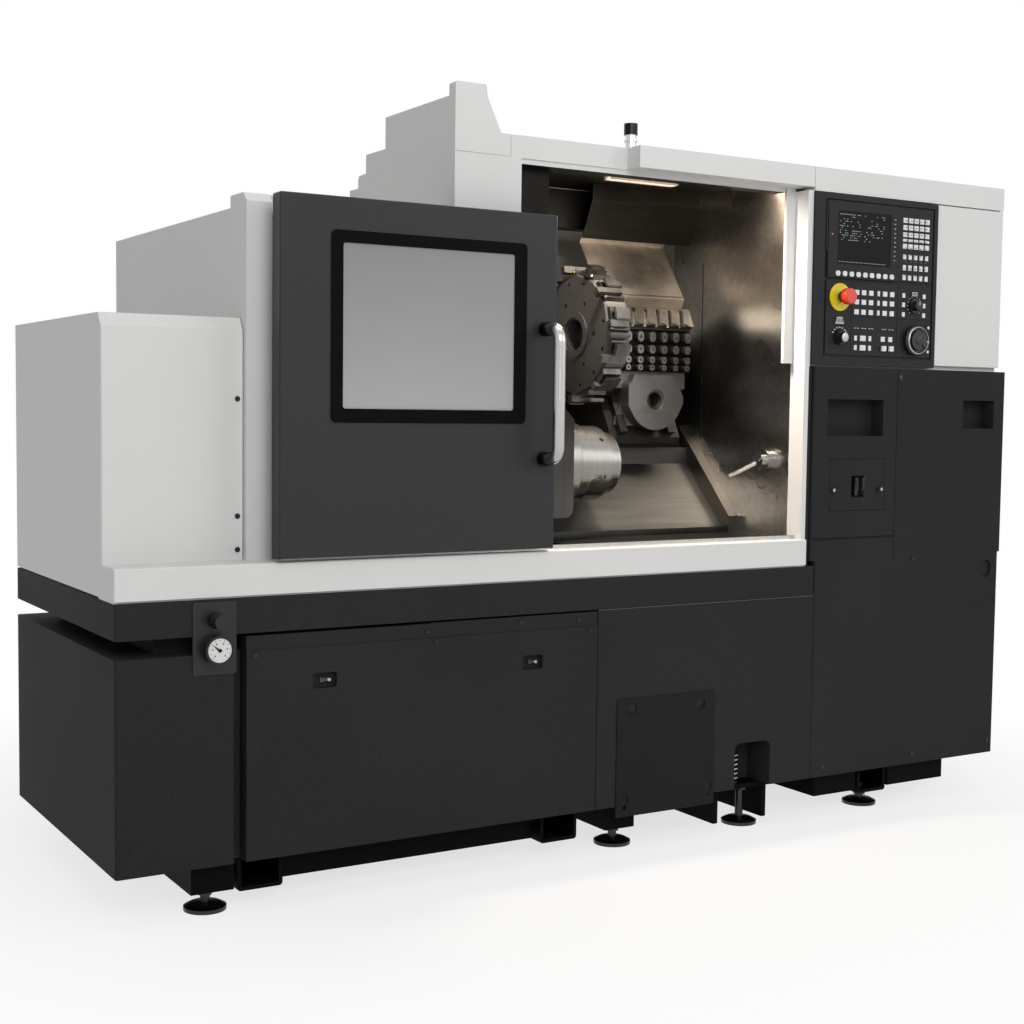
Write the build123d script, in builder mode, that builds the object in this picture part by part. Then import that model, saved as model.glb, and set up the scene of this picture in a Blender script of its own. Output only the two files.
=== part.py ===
from build123d import *
from math import cos, radians, sin
import os

os.makedirs("parts", exist_ok=True)

# CNC turning lathe with a sliding door, a slant-bed slide, a drum turret and a control panel.
# Millimetres. X runs along the machine to the right, Y to the back, Z up from the floor.
# Sizes in the slabs and views below are taken from the left end, the front plane and the floor.

# Overall envelope
length = 2560.0
depth = 1040.0
side_depth = 800.0
door_stand = 20.0
handle_reach = 66.0
handle_dia = 29.0
reach = door_stand + handle_reach + handle_dia / 2

left = -length / 2
front = -(depth - reach) / 2
sheet = 3.0
seam = 2.0
running = 0.3
shaft_fit = 0.05

# Heights above the floor
base_bottom = 112.0
base_top = 562.0
plinth_bottom = 601.0
plinth_top = 677.0
sill_top = 748.0
cabinet_top = 1200.0
utility_bottom = 690.0
left_cover_top = 1266.0
header_top = 1712.0
header_bottom = header_top - 52.0
post_top = header_top - 181.0
spindle_cover_top = post_top - 26.0
roof_rise = 105.0
roof_top = header_top + roof_rise

# Positions along the machine
left_cabinet_right = 254.0
front_panel_left = 281.0
panel_seam = 1175.0
base_cabinet_left = 1860.0
cover_left = 308.0
post_right = 366.0
hood_left = 801.0
header_step = 1277.0
opening_left = 978.0
control_left = base_cabinet_left - 29.0
opening_right = control_left - 18.0
sill_right = control_left - 1.0
wall_x = control_left + 17.0
panel_step = control_left + 444.0

# Positions behind the front plane
left_cover_front = 89.0
post_front = 72.0
hood_front = 57.0
hood_back = 565.0

# Fixed guard behind the door, left of the opening
guard_y = 120.0
guard_left = 920.0
guard_right = 1168.0
guard_bottom = 815.0

# Spindle axis and the slide direction of the turret
spindle_y = 330.0
spindle_z = 940.0
slant = 63.0
turret_along = 372.8
turret_out = 21.6


def spot(x, y, z):
    """A point given from the left end, the front plane and the floor."""
    return (left + x, front + y, z)


def top_view(z):
    return Plane(origin=spot(0, 0, z), x_dir=(1, 0, 0), z_dir=(0, 0, 1))


def on_slide(y, z):
    """Slide coordinates of a point: distance up the slant and out of the bed face."""
    back = y - spindle_y
    up = z - spindle_z
    lean = radians(slant)
    return (back * cos(lean) + up * sin(lean), up * cos(lean) - back * sin(lean))


def front_view(y):
    return Plane(origin=spot(0, y, 0), x_dir=(1, 0, 0), z_dir=(0, -1, 0))


def side_view(x):
    return Plane(origin=spot(x, 0, 0), x_dir=(0, 1, 0), z_dir=(1, 0, 0))


def slide_view(x):
    """Seen from the right: first axis up the slant, second axis out of the bed face."""
    along = (0, cos(radians(slant)), sin(radians(slant)))
    return Plane(origin=spot(x, spindle_y, spindle_z), x_dir=along, z_dir=(1, 0, 0))


def face_view(out):
    """The slanted bed face at a distance out from the spindle axis: first axis X, second up the slant."""
    face = (0, -sin(radians(slant)), cos(radians(slant)))
    origin = spot(0, spindle_y + face[1] * out, spindle_z + face[2] * out)
    return Plane(origin=origin, x_dir=(1, 0, 0), z_dir=face)


def slab(x0, x1, y0, y1, z0, z1, mode=Mode.ADD):
    """A plain block between two corners, joined to the current part."""
    with Locations(spot((x0 + x1) / 2, (y0 + y1) / 2, (z0 + z1) / 2)):
        Box(x1 - x0, y1 - y0, z1 - z0, mode=mode)


def save(piece, name):
    piece.part.label = name
    export_step(piece.part, f"parts/{name}.step")


# Base frame: top plate, foot beams and bracket, with square ways for the fork pockets
beam_bottom = 44.0
frame_left = 172.0
frame_right = length - 80.0
frame_front = 40.0
frame_back = depth - 60.0
plate_bottom = base_bottom - 12.0
pocket_width = 104.0
pocket_bottom = 37.0
pocket_wall = 9.0
pocket_at = [328.0, 1095.0, length - 438.0]
foot_beams = [(frame_left, frame_left + 96.0), (1232.0, 1319.0)]
bracket = (1570.0, 1744.0)
bracket_leg = 14.0
bracket_leg_bottom = 17.0

with BuildPart() as base_frame:
    slab(frame_left, frame_right, frame_front, frame_back, plate_bottom, base_bottom)
    for start, end in foot_beams:
        slab(start, end, frame_front, frame_back, beam_bottom, plate_bottom)
    for start in (bracket[0], bracket[1] - bracket_leg):
        slab(start, start + bracket_leg, frame_front, frame_back, bracket_leg_bottom, plate_bottom)
    for x in pocket_at:
        slab(x - pocket_width / 2, x + pocket_width / 2, frame_front, frame_back,
             plate_bottom, base_bottom, mode=Mode.SUBTRACT)
save(base_frame, "base_frame")

# Fork pockets: square tubes through the frame from front to back
with BuildPart() as fork_pockets:
    pocket_height = base_bottom - pocket_bottom
    with BuildSketch(front_view(frame_front)):
        with Locations(*[(x, pocket_bottom + pocket_height / 2) for x in pocket_at]):
            RectangleRounded(pocket_width, pocket_height, 8)
            Rectangle(pocket_width - 2 * pocket_wall, pocket_height - 2 * pocket_wall, mode=Mode.SUBTRACT)
    extrude(amount=-(frame_back - frame_front))
save(fork_pockets, "fork_pockets")

# Levelling feet: disc, stud and lock nut, eight alike under the beams, the bracket and a fork pocket
feet = [(frame_left + 44.0, beam_bottom), (1278.0, beam_bottom), (1684.0, plate_bottom),
        (pocket_at[2] - 10.0, pocket_bottom)]
foot_rows = [76.0, 730.0]
foot_radius = 46.0
foot_height = 14.0
stud_radius = 10.0
nut_radius = 17.0
nut_height = 12.0

with BuildPart() as levelling_feet:
    for x, seat in feet:
        for y in foot_rows:
            with BuildSketch(Plane(origin=spot(x, y, 0), x_dir=(1, 0, 0), z_dir=(0, -1, 0))):
                Polygon((0, 0), (foot_radius, 0), (foot_radius, foot_height * 0.6),
                        (foot_radius * 0.75, foot_height), (stud_radius, foot_height + 3),
                        (stud_radius, seat), (0, seat), align=None)
            revolve(axis=Axis(spot(x, y, 0), (0, 0, 1)))
            with BuildSketch(Plane(origin=spot(x, y, seat - nut_height), x_dir=(1, 0, 0), z_dir=(0, 0, 1))):
                RegularPolygon(nut_radius, 6)
            extrude(amount=nut_height)
save(levelling_feet, "levelling_feet")

# Coolant tank between the first two fork pockets, and the skirts under the right cabinet
tank_bottom = 46.0
tank_front = 66.0
tank_gap = 8.0
skirt_back = frame_back - 300.0
skirts = [(pocket_at[2] - 210.0, pocket_at[2] - pocket_width / 2 - tank_gap),
          (pocket_at[2] + pocket_width / 2 + tank_gap, frame_right - 86.0)]

with BuildPart() as coolant_tank:
    slab(pocket_at[0] + pocket_width / 2 + tank_gap, pocket_at[1] - pocket_width / 2 - tank_gap,
         tank_front, frame_back, tank_bottom, plate_bottom)
    for start, end in skirts:
        slab(start, end, frame_front, skirt_back, tank_bottom + 2, plate_bottom)
save(coolant_tank, "coolant_tank")

# Base covers
edge_round = 6.0
base_cover_depth = frame_back

with BuildPart() as base_left_cabinet:
    slab(0, left_cabinet_right, 0, side_depth, base_bottom, base_top)
    fillet(base_left_cabinet.edges().filter_by(Axis.Z).group_by(Axis.Y)[0], edge_round)
    slab(100, left_cabinet_right + 20, 60, side_depth - 10, base_top, plinth_bottom)
save(base_left_cabinet, "base_left_cabinet")

# Front panel with two recessed grips and a raised access strip
strip_top = 594.0
strip_step = 720.0
grip_at = [460.5, 990.0]
grip_width = 57.0
grip_height = 34.0
grip_z = 487.0
grip_depth = 16.0

with BuildPart() as base_front_panel:
    slab(front_panel_left, panel_seam - seam, 0, 200, base_bottom, base_top)
    slab(front_panel_left, strip_step, 2, 40, base_top, strip_top)
    slab(strip_step, panel_seam - seam, 2, 40, base_top, plinth_bottom - 5)
    slab(left_cabinet_right, front_panel_left, 40, 200, base_bottom, base_top)
    with BuildSketch(front_view(0)):
        with Locations(*[(x, grip_z) for x in grip_at]):
            RectangleRounded(grip_width, grip_height, 7)
    extrude(amount=-grip_depth, mode=Mode.SUBTRACT)
save(base_front_panel, "base_front_panel")

# Middle panel with the notch over the third foot
notch = (1604.0, 1721.0)
notch_top = 230.0
notch_round = 18.0
notch_depth = 90.0

with BuildPart() as base_mid_panel:
    slab(panel_seam, base_cabinet_left - seam, 0, 200, base_bottom, plinth_bottom)
    with BuildSketch(front_view(0)):
        with Locations(((notch[0] + notch[1]) / 2, (base_bottom + notch_top) / 2)):
            Rectangle(notch[1] - notch[0], notch_top - base_bottom)
    extrude(amount=-notch_depth, mode=Mode.SUBTRACT)
    fillet(base_mid_panel.edges().filter_by(Axis.Y).filter_by_position(Axis.Z, notch_top - 1, notch_top + 1),
           notch_round)
save(base_mid_panel, "base_mid_panel")

# Removable cover plate on the middle panel
plate_box = (1233.0, 1535.0, 85.0, 376.0)
plate_thick = 3.0
plate_round = 5.0
plate_slots = [(1276.0, 350.0), (1488.0, 346.0)]
plate_keyholes = [(1259.0, 127.0), (1516.0, 134.0)]
slot_radius = 14.0
keyhole_radius = 11.0

with BuildPart() as cover_plate:
    with BuildSketch(front_view(0)):
        with Locations(((plate_box[0] + plate_box[1]) / 2, (plate_box[2] + plate_box[3]) / 2)):
            RectangleRounded(plate_box[1] - plate_box[0], plate_box[3] - plate_box[2], plate_round)
        with Locations(*plate_slots):
            Circle(slot_radius, mode=Mode.SUBTRACT)
        with Locations(*plate_keyholes):
            Circle(keyhole_radius, mode=Mode.SUBTRACT)
        with Locations(*[(x, z - keyhole_radius * 1.2) for x, z in plate_keyholes]):
            SlotOverall(keyhole_radius * 2.2, keyhole_radius * 0.9, rotation=90, mode=Mode.SUBTRACT)
    extrude(amount=plate_thick)
save(cover_plate, "cover_plate")

# Right base cabinet under the utility cabinet, with an oval cable cut-out
oval = (length - 58.0, 644.0, 44.0, 50.0)

with BuildPart() as base_right_cabinet:
    slab(base_cabinet_left, length - 8, 0, base_cover_depth, base_bottom, utility_bottom)
    fillet(base_right_cabinet.edges().filter_by(Axis.Z).group_by(Axis.Y)[0], edge_round)
    with BuildSketch(front_view(0)):
        with Locations((oval[0], oval[1])):
            RectangleRounded(oval[2], oval[3], 20)
    extrude(amount=-8, mode=Mode.SUBTRACT)
save(base_right_cabinet, "base_right_cabinet")

# Plinth and the white sill above it
plinth_lip = 4.0

with BuildPart() as plinth:
    slab(0, left_cabinet_right + 27, 0, side_depth, plinth_bottom, plinth_top)
    slab(left_cabinet_right + 27, base_cabinet_left - seam, 0, 190, plinth_bottom, plinth_top)
    fillet(plinth.edges().filter_by(Axis.Z).group_by(Axis.Y)[0], edge_round)
    slab(control_left, control_left + 11, 10, 60, plinth_top, cabinet_top)
save(plinth, "plinth")

with BuildPart() as sill:
    slab(0, sill_right - seam, 0, 110, plinth_top + plinth_lip, sill_top)
    slab(0, cover_left - seam, 0, side_depth, plinth_top + plinth_lip, sill_top)
    slab(0, sill_right - seam, 6, 110, plinth_top, plinth_top + plinth_lip)
    slab(6, cover_left - seam, 6, side_depth - 6, plinth_top, plinth_top + plinth_lip)
    slab(opening_left, sill_right - seam - 16, 40, 110, sill_top - 20, sill_top, mode=Mode.SUBTRACT)
    fillet(sill.edges().filter_by(Axis.X).group_by(Axis.Y)[0].sort_by(Axis.Z)[-1], 4)
save(sill, "sill")

# Left cover with its bevelled top front edge
cover_bevel = 27.0

with BuildPart() as left_cover:
    with BuildSketch(side_view(0)):
        Polygon((left_cover_front, sill_top), (side_depth, sill_top), (side_depth, left_cover_top),
                (left_cover_front + cover_bevel * 0.6, left_cover_top),
                (left_cover_front, left_cover_top - cover_bevel), align=None)
    extrude(amount=cover_left - seam)
    fillet(left_cover.edges().filter_by(Axis.Z).group_by(Axis.Y)[0].group_by(Axis.X)[0], 5)
save(left_cover, "left_cover")

# Spindle cover: raised front frame with the post, and the lower roof behind it
frame_run = 95.0
frame_bevel = 19.0

with BuildPart() as spindle_cover:
    slab(cover_left, hood_left - seam, post_front + frame_run, depth - 40, plinth_top, spindle_cover_top)
    slab(cover_left + 12, hood_left, 180, depth - 52, plinth_top, spindle_cover_top - 12, mode=Mode.SUBTRACT)
    with BuildSketch(side_view(cover_left)):
        Polygon((post_front, sill_top), (post_front + frame_run, sill_top), (post_front + frame_run, post_top),
                (post_front + frame_bevel, post_top), (post_front, post_top - frame_bevel), align=None)
    extrude(amount=post_right - cover_left)
    slab(post_right, hood_left - seam, post_front + 30, post_front + frame_run, post_top - 40, post_top)
    slab(post_right, guard_left - 2, guard_y, post_front + frame_run, sill_top, post_top - 40)
save(spindle_cover, "spindle_cover")

# Hood over the working area: left part set back, right part standing forward
hood_skin = 14.0
hood_seam = 947.0
cheek_right = 916.0
cheek_step = 45.0
soffit_drop = 12.0
lip_drop = 9.0

with BuildPart() as hood:
    with BuildSketch(side_view(hood_left)):
        Polygon((hood_front, spindle_cover_top), (hood_back, spindle_cover_top), (hood_back, header_bottom - 4),
                (hood_back - 6, header_bottom + 4), (hood_back - cheek_step, header_bottom + 6),
                (hood_back - cheek_step, header_top), (hood_front, header_top), align=None)
    extrude(amount=cheek_right - hood_left)
    slab(cheek_right, header_step, hood_front, 105, header_bottom, header_top)
    slab(cheek_right, opening_left, hood_front, 105, 1440, header_bottom)
    slab(hood_left, cheek_right, hood_front, 105, 1440, spindle_cover_top)
    slab(header_step, length - 25, 4, 105, header_bottom, header_top)
    slab(cheek_right, length - 25, 105, hood_back, header_top - hood_skin, header_top)
    slab(1000, length - 25, hood_back, hood_back + 75, header_top - hood_skin, header_top)
    slab(opening_left, opening_right - 29, 62, 105, header_bottom - soffit_drop, header_bottom)
    slab(hood_seam, hood_seam + seam, hood_front, hood_front + 2, header_bottom, header_top, mode=Mode.SUBTRACT)
    slab(hood_left, hood_seam + seam, hood_front, hood_front + 2, header_bottom, header_bottom + seam,
         mode=Mode.SUBTRACT)
    slab(control_left + seam, length - 25, 4, 40, header_bottom - lip_drop, header_bottom)
    slab(control_left, control_left + seam, 4, 6, header_bottom - lip_drop, header_top, mode=Mode.SUBTRACT)
save(hood, "hood")

# Roof box with the raised block at its front
box_top = header_top + 76.0
box_right = 886.0
box_back = 411.0
block_depth = 30.0

with BuildPart() as roof_box:
    with BuildSketch(front_view(hood_front)):
        Polygon((hood_left, header_top), (hood_left, roof_top), (box_right - 5, roof_top), (box_right, box_top),
                (box_right + 36, header_top), align=None)
    extrude(amount=-block_depth)
    slab(hood_left, box_right - 6, hood_front + block_depth, box_back, header_top, box_top)
    fillet(roof_box.edges().filter_by(Axis.Y).group_by(Axis.Z)[-1].sort_by(Axis.X)[0], 6)
save(roof_box, "roof_box")

# White control cabinet with the post right of the opening
with BuildPart() as control_cabinet:
    slab(wall_x + 6, length - 25, 20, 430, cabinet_top, header_bottom - lip_drop)
    slab(wall_x + 6, length - 25, 107, 430, header_bottom - lip_drop, header_top - hood_skin)
    slab(panel_step + seam, length - 25, 6, 20, 1212, header_bottom - 12)
    slab(opening_right, sill_right - seam, 6, 60, sill_top, header_bottom - lip_drop)
    slab(opening_right, control_left, 6, 60, cabinet_top, header_bottom - lip_drop)
    slab(control_left, wall_x + 6, 20, 60, cabinet_top, header_bottom - lip_drop)
    slab(opening_right - 29, opening_right, 56, 66, 1207, header_bottom)
save(control_cabinet, "control_cabinet")

# Rear cover closing the working area, with the electrics cabinet at its right
rear_top = header_top - 112.0

with BuildPart() as rear_cover:
    slab(hood_left, length - 30, frame_back, depth, base_bottom, rear_top)
    slab(hood_left, 1004, hood_back, frame_back, rear_top - 10, rear_top)
    slab(hood_left, hood_left + 6, hood_back, frame_back, spindle_cover_top, rear_top)
    slab(1000, length - 30, hood_back + 75, depth, rear_top - 10, header_top - hood_skin)
    slab(994, 1004, hood_back, hood_back + 85, rear_top - 10, header_top - hood_skin)
    slab(2000, length - 30, 430, frame_back, utility_bottom, header_top - hood_skin)
save(rear_cover, "rear_cover")

# Dark utility cabinet with two recesses and a hatch opening
utility_left = control_left + 13.0
utility_seam = utility_left + 296.0
hatch_box = (utility_left + 59.0, utility_left + 257.0, 820.0, 958.0)
hatch_pin = 1.6
hatch_axis = (2.0, hatch_box[2] + 5.0)
hatch_depth = 60.0
recess_left_box = (utility_left + 47.0, utility_left + 246.0, 1018.0, 1115.0)
recess_right_box = (length - 167.0, length - 44.0, 1040.0, 1118.0)
recess_depth = 45.0

with BuildPart() as utility_cabinet:
    slab(utility_left, length, 0, 430, utility_bottom, cabinet_top)
    fillet(utility_cabinet.edges().filter_by(Axis.Z).group_by(Axis.Y)[0], edge_round)
    slab(utility_left, wall_x + 8, 60, 430, utility_bottom, cabinet_top, mode=Mode.SUBTRACT)
    for x0, x1, z0, z1 in (recess_left_box, recess_right_box):
        slab(x0, x1, 0, recess_depth, z0, z1, mode=Mode.SUBTRACT)
    slab(hatch_box[0], hatch_box[1], 0, hatch_depth, hatch_box[2], hatch_box[3], mode=Mode.SUBTRACT)
    with BuildSketch(side_view(hatch_box[0] - 7)):
        with Locations(hatch_axis):
            Circle(hatch_pin + shaft_fit)
    extrude(amount=hatch_box[1] - hatch_box[0] + 14, mode=Mode.SUBTRACT)
    slab(utility_seam, utility_seam + seam, 0, 3, utility_bottom, cabinet_top, mode=Mode.SUBTRACT)
    slab(utility_left, utility_seam, 0, 4, 744, 750, mode=Mode.SUBTRACT)
save(utility_cabinet, "utility_cabinet")

# Hatch door on two pins in its lower corners, with a turning latch
hatch_gap = 1.0
hatch_thick = 4.0
latch_box = (hatch_box[0] + 76.0, hatch_box[0] + 125.0, 853.0, 915.0)
latch_at = ((latch_box[0] + latch_box[1]) / 2, (latch_box[2] + latch_box[3]) / 2)
latch_shaft = 6.0

with BuildPart() as hatch_door:
    with BuildSketch(front_view(0)):
        with Locations(((hatch_box[0] + hatch_box[1]) / 2, (hatch_box[2] + hatch_box[3]) / 2)):
            RectangleRounded(hatch_box[1] - hatch_box[0] - 2 * hatch_gap,
                             hatch_box[3] - hatch_box[2] - 2 * hatch_gap, 4)
    extrude(amount=-hatch_thick)
    for start in (hatch_box[0] - 5, hatch_box[1] - 9):
        with BuildSketch(side_view(start)):
            with Locations(hatch_axis):
                Circle(hatch_pin)
        extrude(amount=14)
    slab(latch_box[0], latch_box[1], hatch_thick, 24, latch_box[2], latch_box[3])
    slab(latch_box[0] + 2, latch_box[1] - 2, 0, 20, latch_box[2] + 2, latch_box[3] - 2, mode=Mode.SUBTRACT)
    with Locations(spot(latch_at[0], 20, latch_at[1])):
        Cylinder(latch_shaft + shaft_fit, 20, rotation=(90, 0, 0), mode=Mode.SUBTRACT)
    with Locations(*[spot(x, -4, 876) for x in (hatch_box[0] + 14, hatch_box[1] - 24)]):
        Cylinder(6, 10, rotation=(90, 0, 0))
save(hatch_door, "hatch_door")

with BuildPart() as hatch_latch:
    with Locations(spot(latch_at[0], 18, latch_at[1])):
        Cylinder(latch_shaft, 24, rotation=(90, 0, 0))
    slab(latch_at[0] - 5, latch_at[0] + 5, 5, 17, latch_box[2] + 8, latch_box[3] - 8)
    slab(latch_at[0] - 6, latch_at[0] + 6, 26, 30, latch_at[1] - 6, latch_box[3] + 20)
save(hatch_latch, "hatch_latch")

# Lining of the working area: right wall and roof panel
with BuildPart() as right_wall_liner:
    with BuildSketch(side_view(wall_x)):
        Polygon((60, 715), (360, 715), (620, 980), (620, header_top - 152), (520, header_top - hood_skin),
                (107, header_top - hood_skin), (107, header_bottom - 12), (60, header_bottom - 12), align=None)
    extrude(amount=6)
save(right_wall_liner, "right_wall_liner")

roof_edge = (554.0, header_top - 156.0)
roof_bend = (505.0, header_top - 55.0)

with BuildPart() as roof_liner:
    with BuildSketch(side_view(1478)):
        Polygon(roof_edge, roof_bend, (roof_bend[0], header_top - hood_skin),
                (roof_bend[0] - sheet, header_top - hood_skin), (roof_bend[0] - sheet, roof_bend[1] - 1),
                (roof_edge[0] - sheet, roof_edge[1] - 2), align=None)
    extrude(amount=wall_x - 1478)
save(roof_liner, "roof_liner")

# Chip chute, gutter and floor tray bent from one sheet, with a box rail along the right wall
chute_left = 1178.0
chute_lip = (337.0, 760.0)
chute_top = (501.0, 929.0)
ledge_top = 975.0
tray_z = sill_top - 2
gutter_z = 718.0
tray_back = 302.0
chute_sheet = 4.0
rail_width = 30.0
rail_end = (545.0, 1038.0)

with BuildPart() as chute:
    with BuildSketch(side_view(chute_left)):
        Polygon((110, tray_z), (tray_back, tray_z), (tray_back, gutter_z), (chute_lip[0] - 1, gutter_z),
                (chute_lip[0] - 1, chute_lip[1] - 1), chute_lip, chute_top, (chute_top[0], ledge_top),
                (chute_top[0] + chute_sheet, ledge_top), (chute_top[0] + chute_sheet, chute_top[1] - 2),
                (chute_lip[0] + 2, chute_lip[1] - 4), (chute_lip[0] + 2, gutter_z - 3),
                (tray_back - chute_sheet, gutter_z - 3), (tray_back - chute_sheet, tray_z - chute_sheet),
                (110, tray_z - chute_sheet), align=None)
    extrude(amount=wall_x - chute_left)
    with BuildSketch(side_view(wall_x - rail_width)):
        Polygon((chute_lip[0] - 1, gutter_z), (chute_lip[0] - 30, gutter_z), (chute_lip[0] - 30, chute_lip[1] + 30),
                rail_end, (rail_end[0], rail_end[1] - 45), (chute_top[0] + 2, chute_top[1]),
                (chute_lip[0] + 1, chute_lip[1] - 2), align=None)
    extrude(amount=rail_width)
save(chute, "chute")

# Fixed guard between the spindle and the working area
with BuildPart() as guard_plate:
    slab(guard_left, guard_right, guard_y, guard_y + sheet, guard_bottom, header_bottom - 4)
    fillet(guard_plate.edges().filter_by(Axis.Y).group_by(Axis.Z)[0].sort_by(Axis.X)[-1], 30)
    slab(guard_left, guard_right, 105, guard_y, header_bottom - soffit_drop, header_bottom - 4)
save(guard_plate, "guard_plate")

# Work lamp under the front of the hood
with BuildPart() as lamp:
    slab(1298, 1502, 150, 186, header_bottom - 8, header_bottom - 2)
    slab(1305, 1495, 140, 196, header_bottom - 2, header_top - hood_skin)
save(lamp, "lamp")

# Sliding door: skin with bent flanges, inner stiffener, window and handle
door_box = (346.0, 1032.0, sill_top + 8.0, post_top - 6.0)
door_front = -door_stand
door_back = 20.0
window_outer = (462.0, 948.0, 1045.0, 1454.0)
window_clear = (489.0, 916.0, 1075.0, 1428.0)
window_at = ((window_outer[0] + window_outer[1]) / 2, (window_outer[2] + window_outer[3]) / 2)
window_width = window_outer[1] - window_outer[0]
window_height = window_outer[3] - window_outer[2]
window_lap = 8.0
window_round = 12.0
window_stand = 3.0
glass_thick = 10.0

with BuildPart() as door_leaf:
    slab(door_box[0], door_box[1], door_front, door_back, door_box[2], door_box[3])
    fillet(door_leaf.edges().filter_by(Axis.Z).group_by(Axis.Y)[0], 5)
    fillet(door_leaf.edges().filter_by(Axis.X).group_by(Axis.Y)[0].sort_by(Axis.Z)[-1], 5)
    slab(door_box[0] + sheet, door_box[1] - sheet, door_front + sheet, door_back, door_box[2] + sheet,
         door_box[3] - sheet, mode=Mode.SUBTRACT)
    with BuildSketch(front_view(door_back)):
        with Locations(window_at):
            RectangleRounded(window_width, window_height, window_round)
    extrude(amount=door_back - door_front - sheet)
    with BuildSketch(front_view(door_back)):
        with Locations(window_at):
            RectangleRounded(window_width - 2 * window_lap, window_height - 2 * window_lap, 8)
    extrude(amount=door_back - door_front, mode=Mode.SUBTRACT)
save(door_leaf, "door_leaf")

with BuildPart() as window_frame:
    with BuildSketch(front_view(door_front)):
        with Locations(window_at):
            RectangleRounded(window_width, window_height, window_round)
        with Locations(((window_clear[0] + window_clear[1]) / 2, (window_clear[2] + window_clear[3]) / 2)):
            RectangleRounded(window_clear[1] - window_clear[0], window_clear[3] - window_clear[2], 6,
                             mode=Mode.SUBTRACT)
    extrude(amount=window_stand)
save(window_frame, "window_frame")

with BuildPart() as door_glass:
    with BuildSketch(front_view(door_front)):
        with Locations(window_at):
            RectangleRounded(window_width - 2 * window_lap - 0.6, window_height - 2 * window_lap - 0.6, 8)
    extrude(amount=-glass_thick)
save(door_glass, "door_glass")

# Bar handle on two standoffs
handle_x = 998.0
handle_bottom = 950.0
handle_top = 1277.0
handle_y = door_front - handle_reach
handle_bend = 30.0

with BuildPart() as door_handle:
    with BuildLine() as handle_path:
        FilletPolyline(spot(handle_x, door_front, handle_bottom + handle_dia / 2),
                       spot(handle_x, handle_y, handle_bottom + handle_dia / 2),
                       spot(handle_x, handle_y, handle_top - handle_dia / 2),
                       spot(handle_x, door_front, handle_top - handle_dia / 2), radius=handle_bend)
    with BuildSketch(front_view(door_front)):
        with Locations((handle_x, handle_bottom + handle_dia / 2)):
            Circle(handle_dia / 2)
    sweep(path=handle_path.wires()[0])
    with BuildSketch(front_view(door_front)):
        with Locations((handle_x, handle_bottom + handle_dia / 2), (handle_x, handle_top - handle_dia / 2)):
            Circle(handle_dia / 2 + 2)
    extrude(amount=24)
save(door_handle, "door_handle")

# Rail that carries the door, fixed behind it on the sill
with BuildPart() as door_rail:
    slab(post_right + 4, opening_right - 2, door_back + 8, 38, sill_top, sill_top + 10)
save(door_rail, "door_rail")

# Headstock with its bore, and the two bearings of the spindle
spindle_radius = 60.0
bearing_radius = 85.0
headstock_box = (640.0, 1150.0, 180.0, 520.0, 760.0, 1110.0)
collar_radius = 150.0
collar_right = 1176.0
bearing_at = [(680.0, 730.0), (1110.0, 1160.0)]

with BuildPart() as headstock:
    slab(*headstock_box)
    fillet(headstock.edges().filter_by(Axis.X).group_by(Axis.Z)[-1], 40)
    with BuildSketch(side_view(headstock_box[1])):
        with Locations((spindle_y, spindle_z)):
            Circle(collar_radius)
    extrude(amount=collar_right - headstock_box[1])
    with BuildSketch(side_view(headstock_box[0])):
        with Locations((spindle_y, spindle_z)):
            Circle(bearing_radius)
    extrude(amount=collar_right - headstock_box[0], mode=Mode.SUBTRACT)
save(headstock, "headstock")

with BuildPart() as spindle_bearings:
    for start, end in bearing_at:
        with BuildSketch(side_view(start)):
            with Locations((spindle_y, spindle_z)):
                Circle(bearing_radius)
                Circle(spindle_radius + shaft_fit, mode=Mode.SUBTRACT)
        extrude(amount=end - start)
save(spindle_bearings, "spindle_bearings")

# Hollow spindle and the stepped collet chuck
spindle_bore = 33.0
spindle_left = 660.0
chuck_face = 1417.0
chuck_steps = [(1186.0, 124.0), (1263.0, 124.0), (1263.0, 105.0), (1306.0, 105.0), (1306.0, 97.0), (1372.0, 97.0),
               (1378.0, 82.0), (chuck_face - 8, 82.0), (chuck_face, 70.0)]
chuck_screws = 6
collet_slots = 3

with BuildPart() as spindle_shaft:
    with BuildSketch(side_view(spindle_left)):
        with Locations((spindle_y, spindle_z)):
            Circle(spindle_radius)
            Circle(spindle_bore, mode=Mode.SUBTRACT)
    extrude(amount=chuck_steps[0][0] - spindle_left)
save(spindle_shaft, "spindle_shaft")

with BuildPart() as chuck:
    with BuildSketch(front_view(spindle_y)):
        with BuildLine():
            Polyline([(chuck_steps[0][0], spindle_z + spindle_bore)]
                     + [(x, spindle_z + r) for x, r in chuck_steps]
                     + [(chuck_face, spindle_z + 46), (chuck_face - 32, spindle_z + spindle_bore)], close=True)
        make_face()
    revolve(axis=Axis(spot(0, spindle_y, spindle_z), (1, 0, 0)))
    chamfer(chuck.edges().filter_by(GeomType.CIRCLE).filter_by(lambda e: e.radius > 120), 3)
    with BuildSketch(side_view(chuck_face)):
        with Locations((spindle_y, spindle_z)):
            with PolarLocations(62, collet_slots, 90):
                Rectangle(60, 3)
    extrude(amount=-26, mode=Mode.SUBTRACT)
    with BuildSketch(side_view(1263)):
        with Locations((spindle_y, spindle_z)):
            with PolarLocations(113.5, chuck_screws, 15):
                Circle(5)
    extrude(amount=-8, mode=Mode.SUBTRACT)
    for turn in range(chuck_screws):
        angle = radians(60 * turn + 20)
        radial = (0, cos(angle), sin(angle))
        at = spot(1350, spindle_y + 101 * cos(angle), spindle_z + 101 * sin(angle))
        with BuildSketch(Plane(origin=at, x_dir=(1, 0, 0), z_dir=radial)):
            Circle(6)
        extrude(amount=-12, mode=Mode.SUBTRACT)
save(chuck, "chuck")

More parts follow.
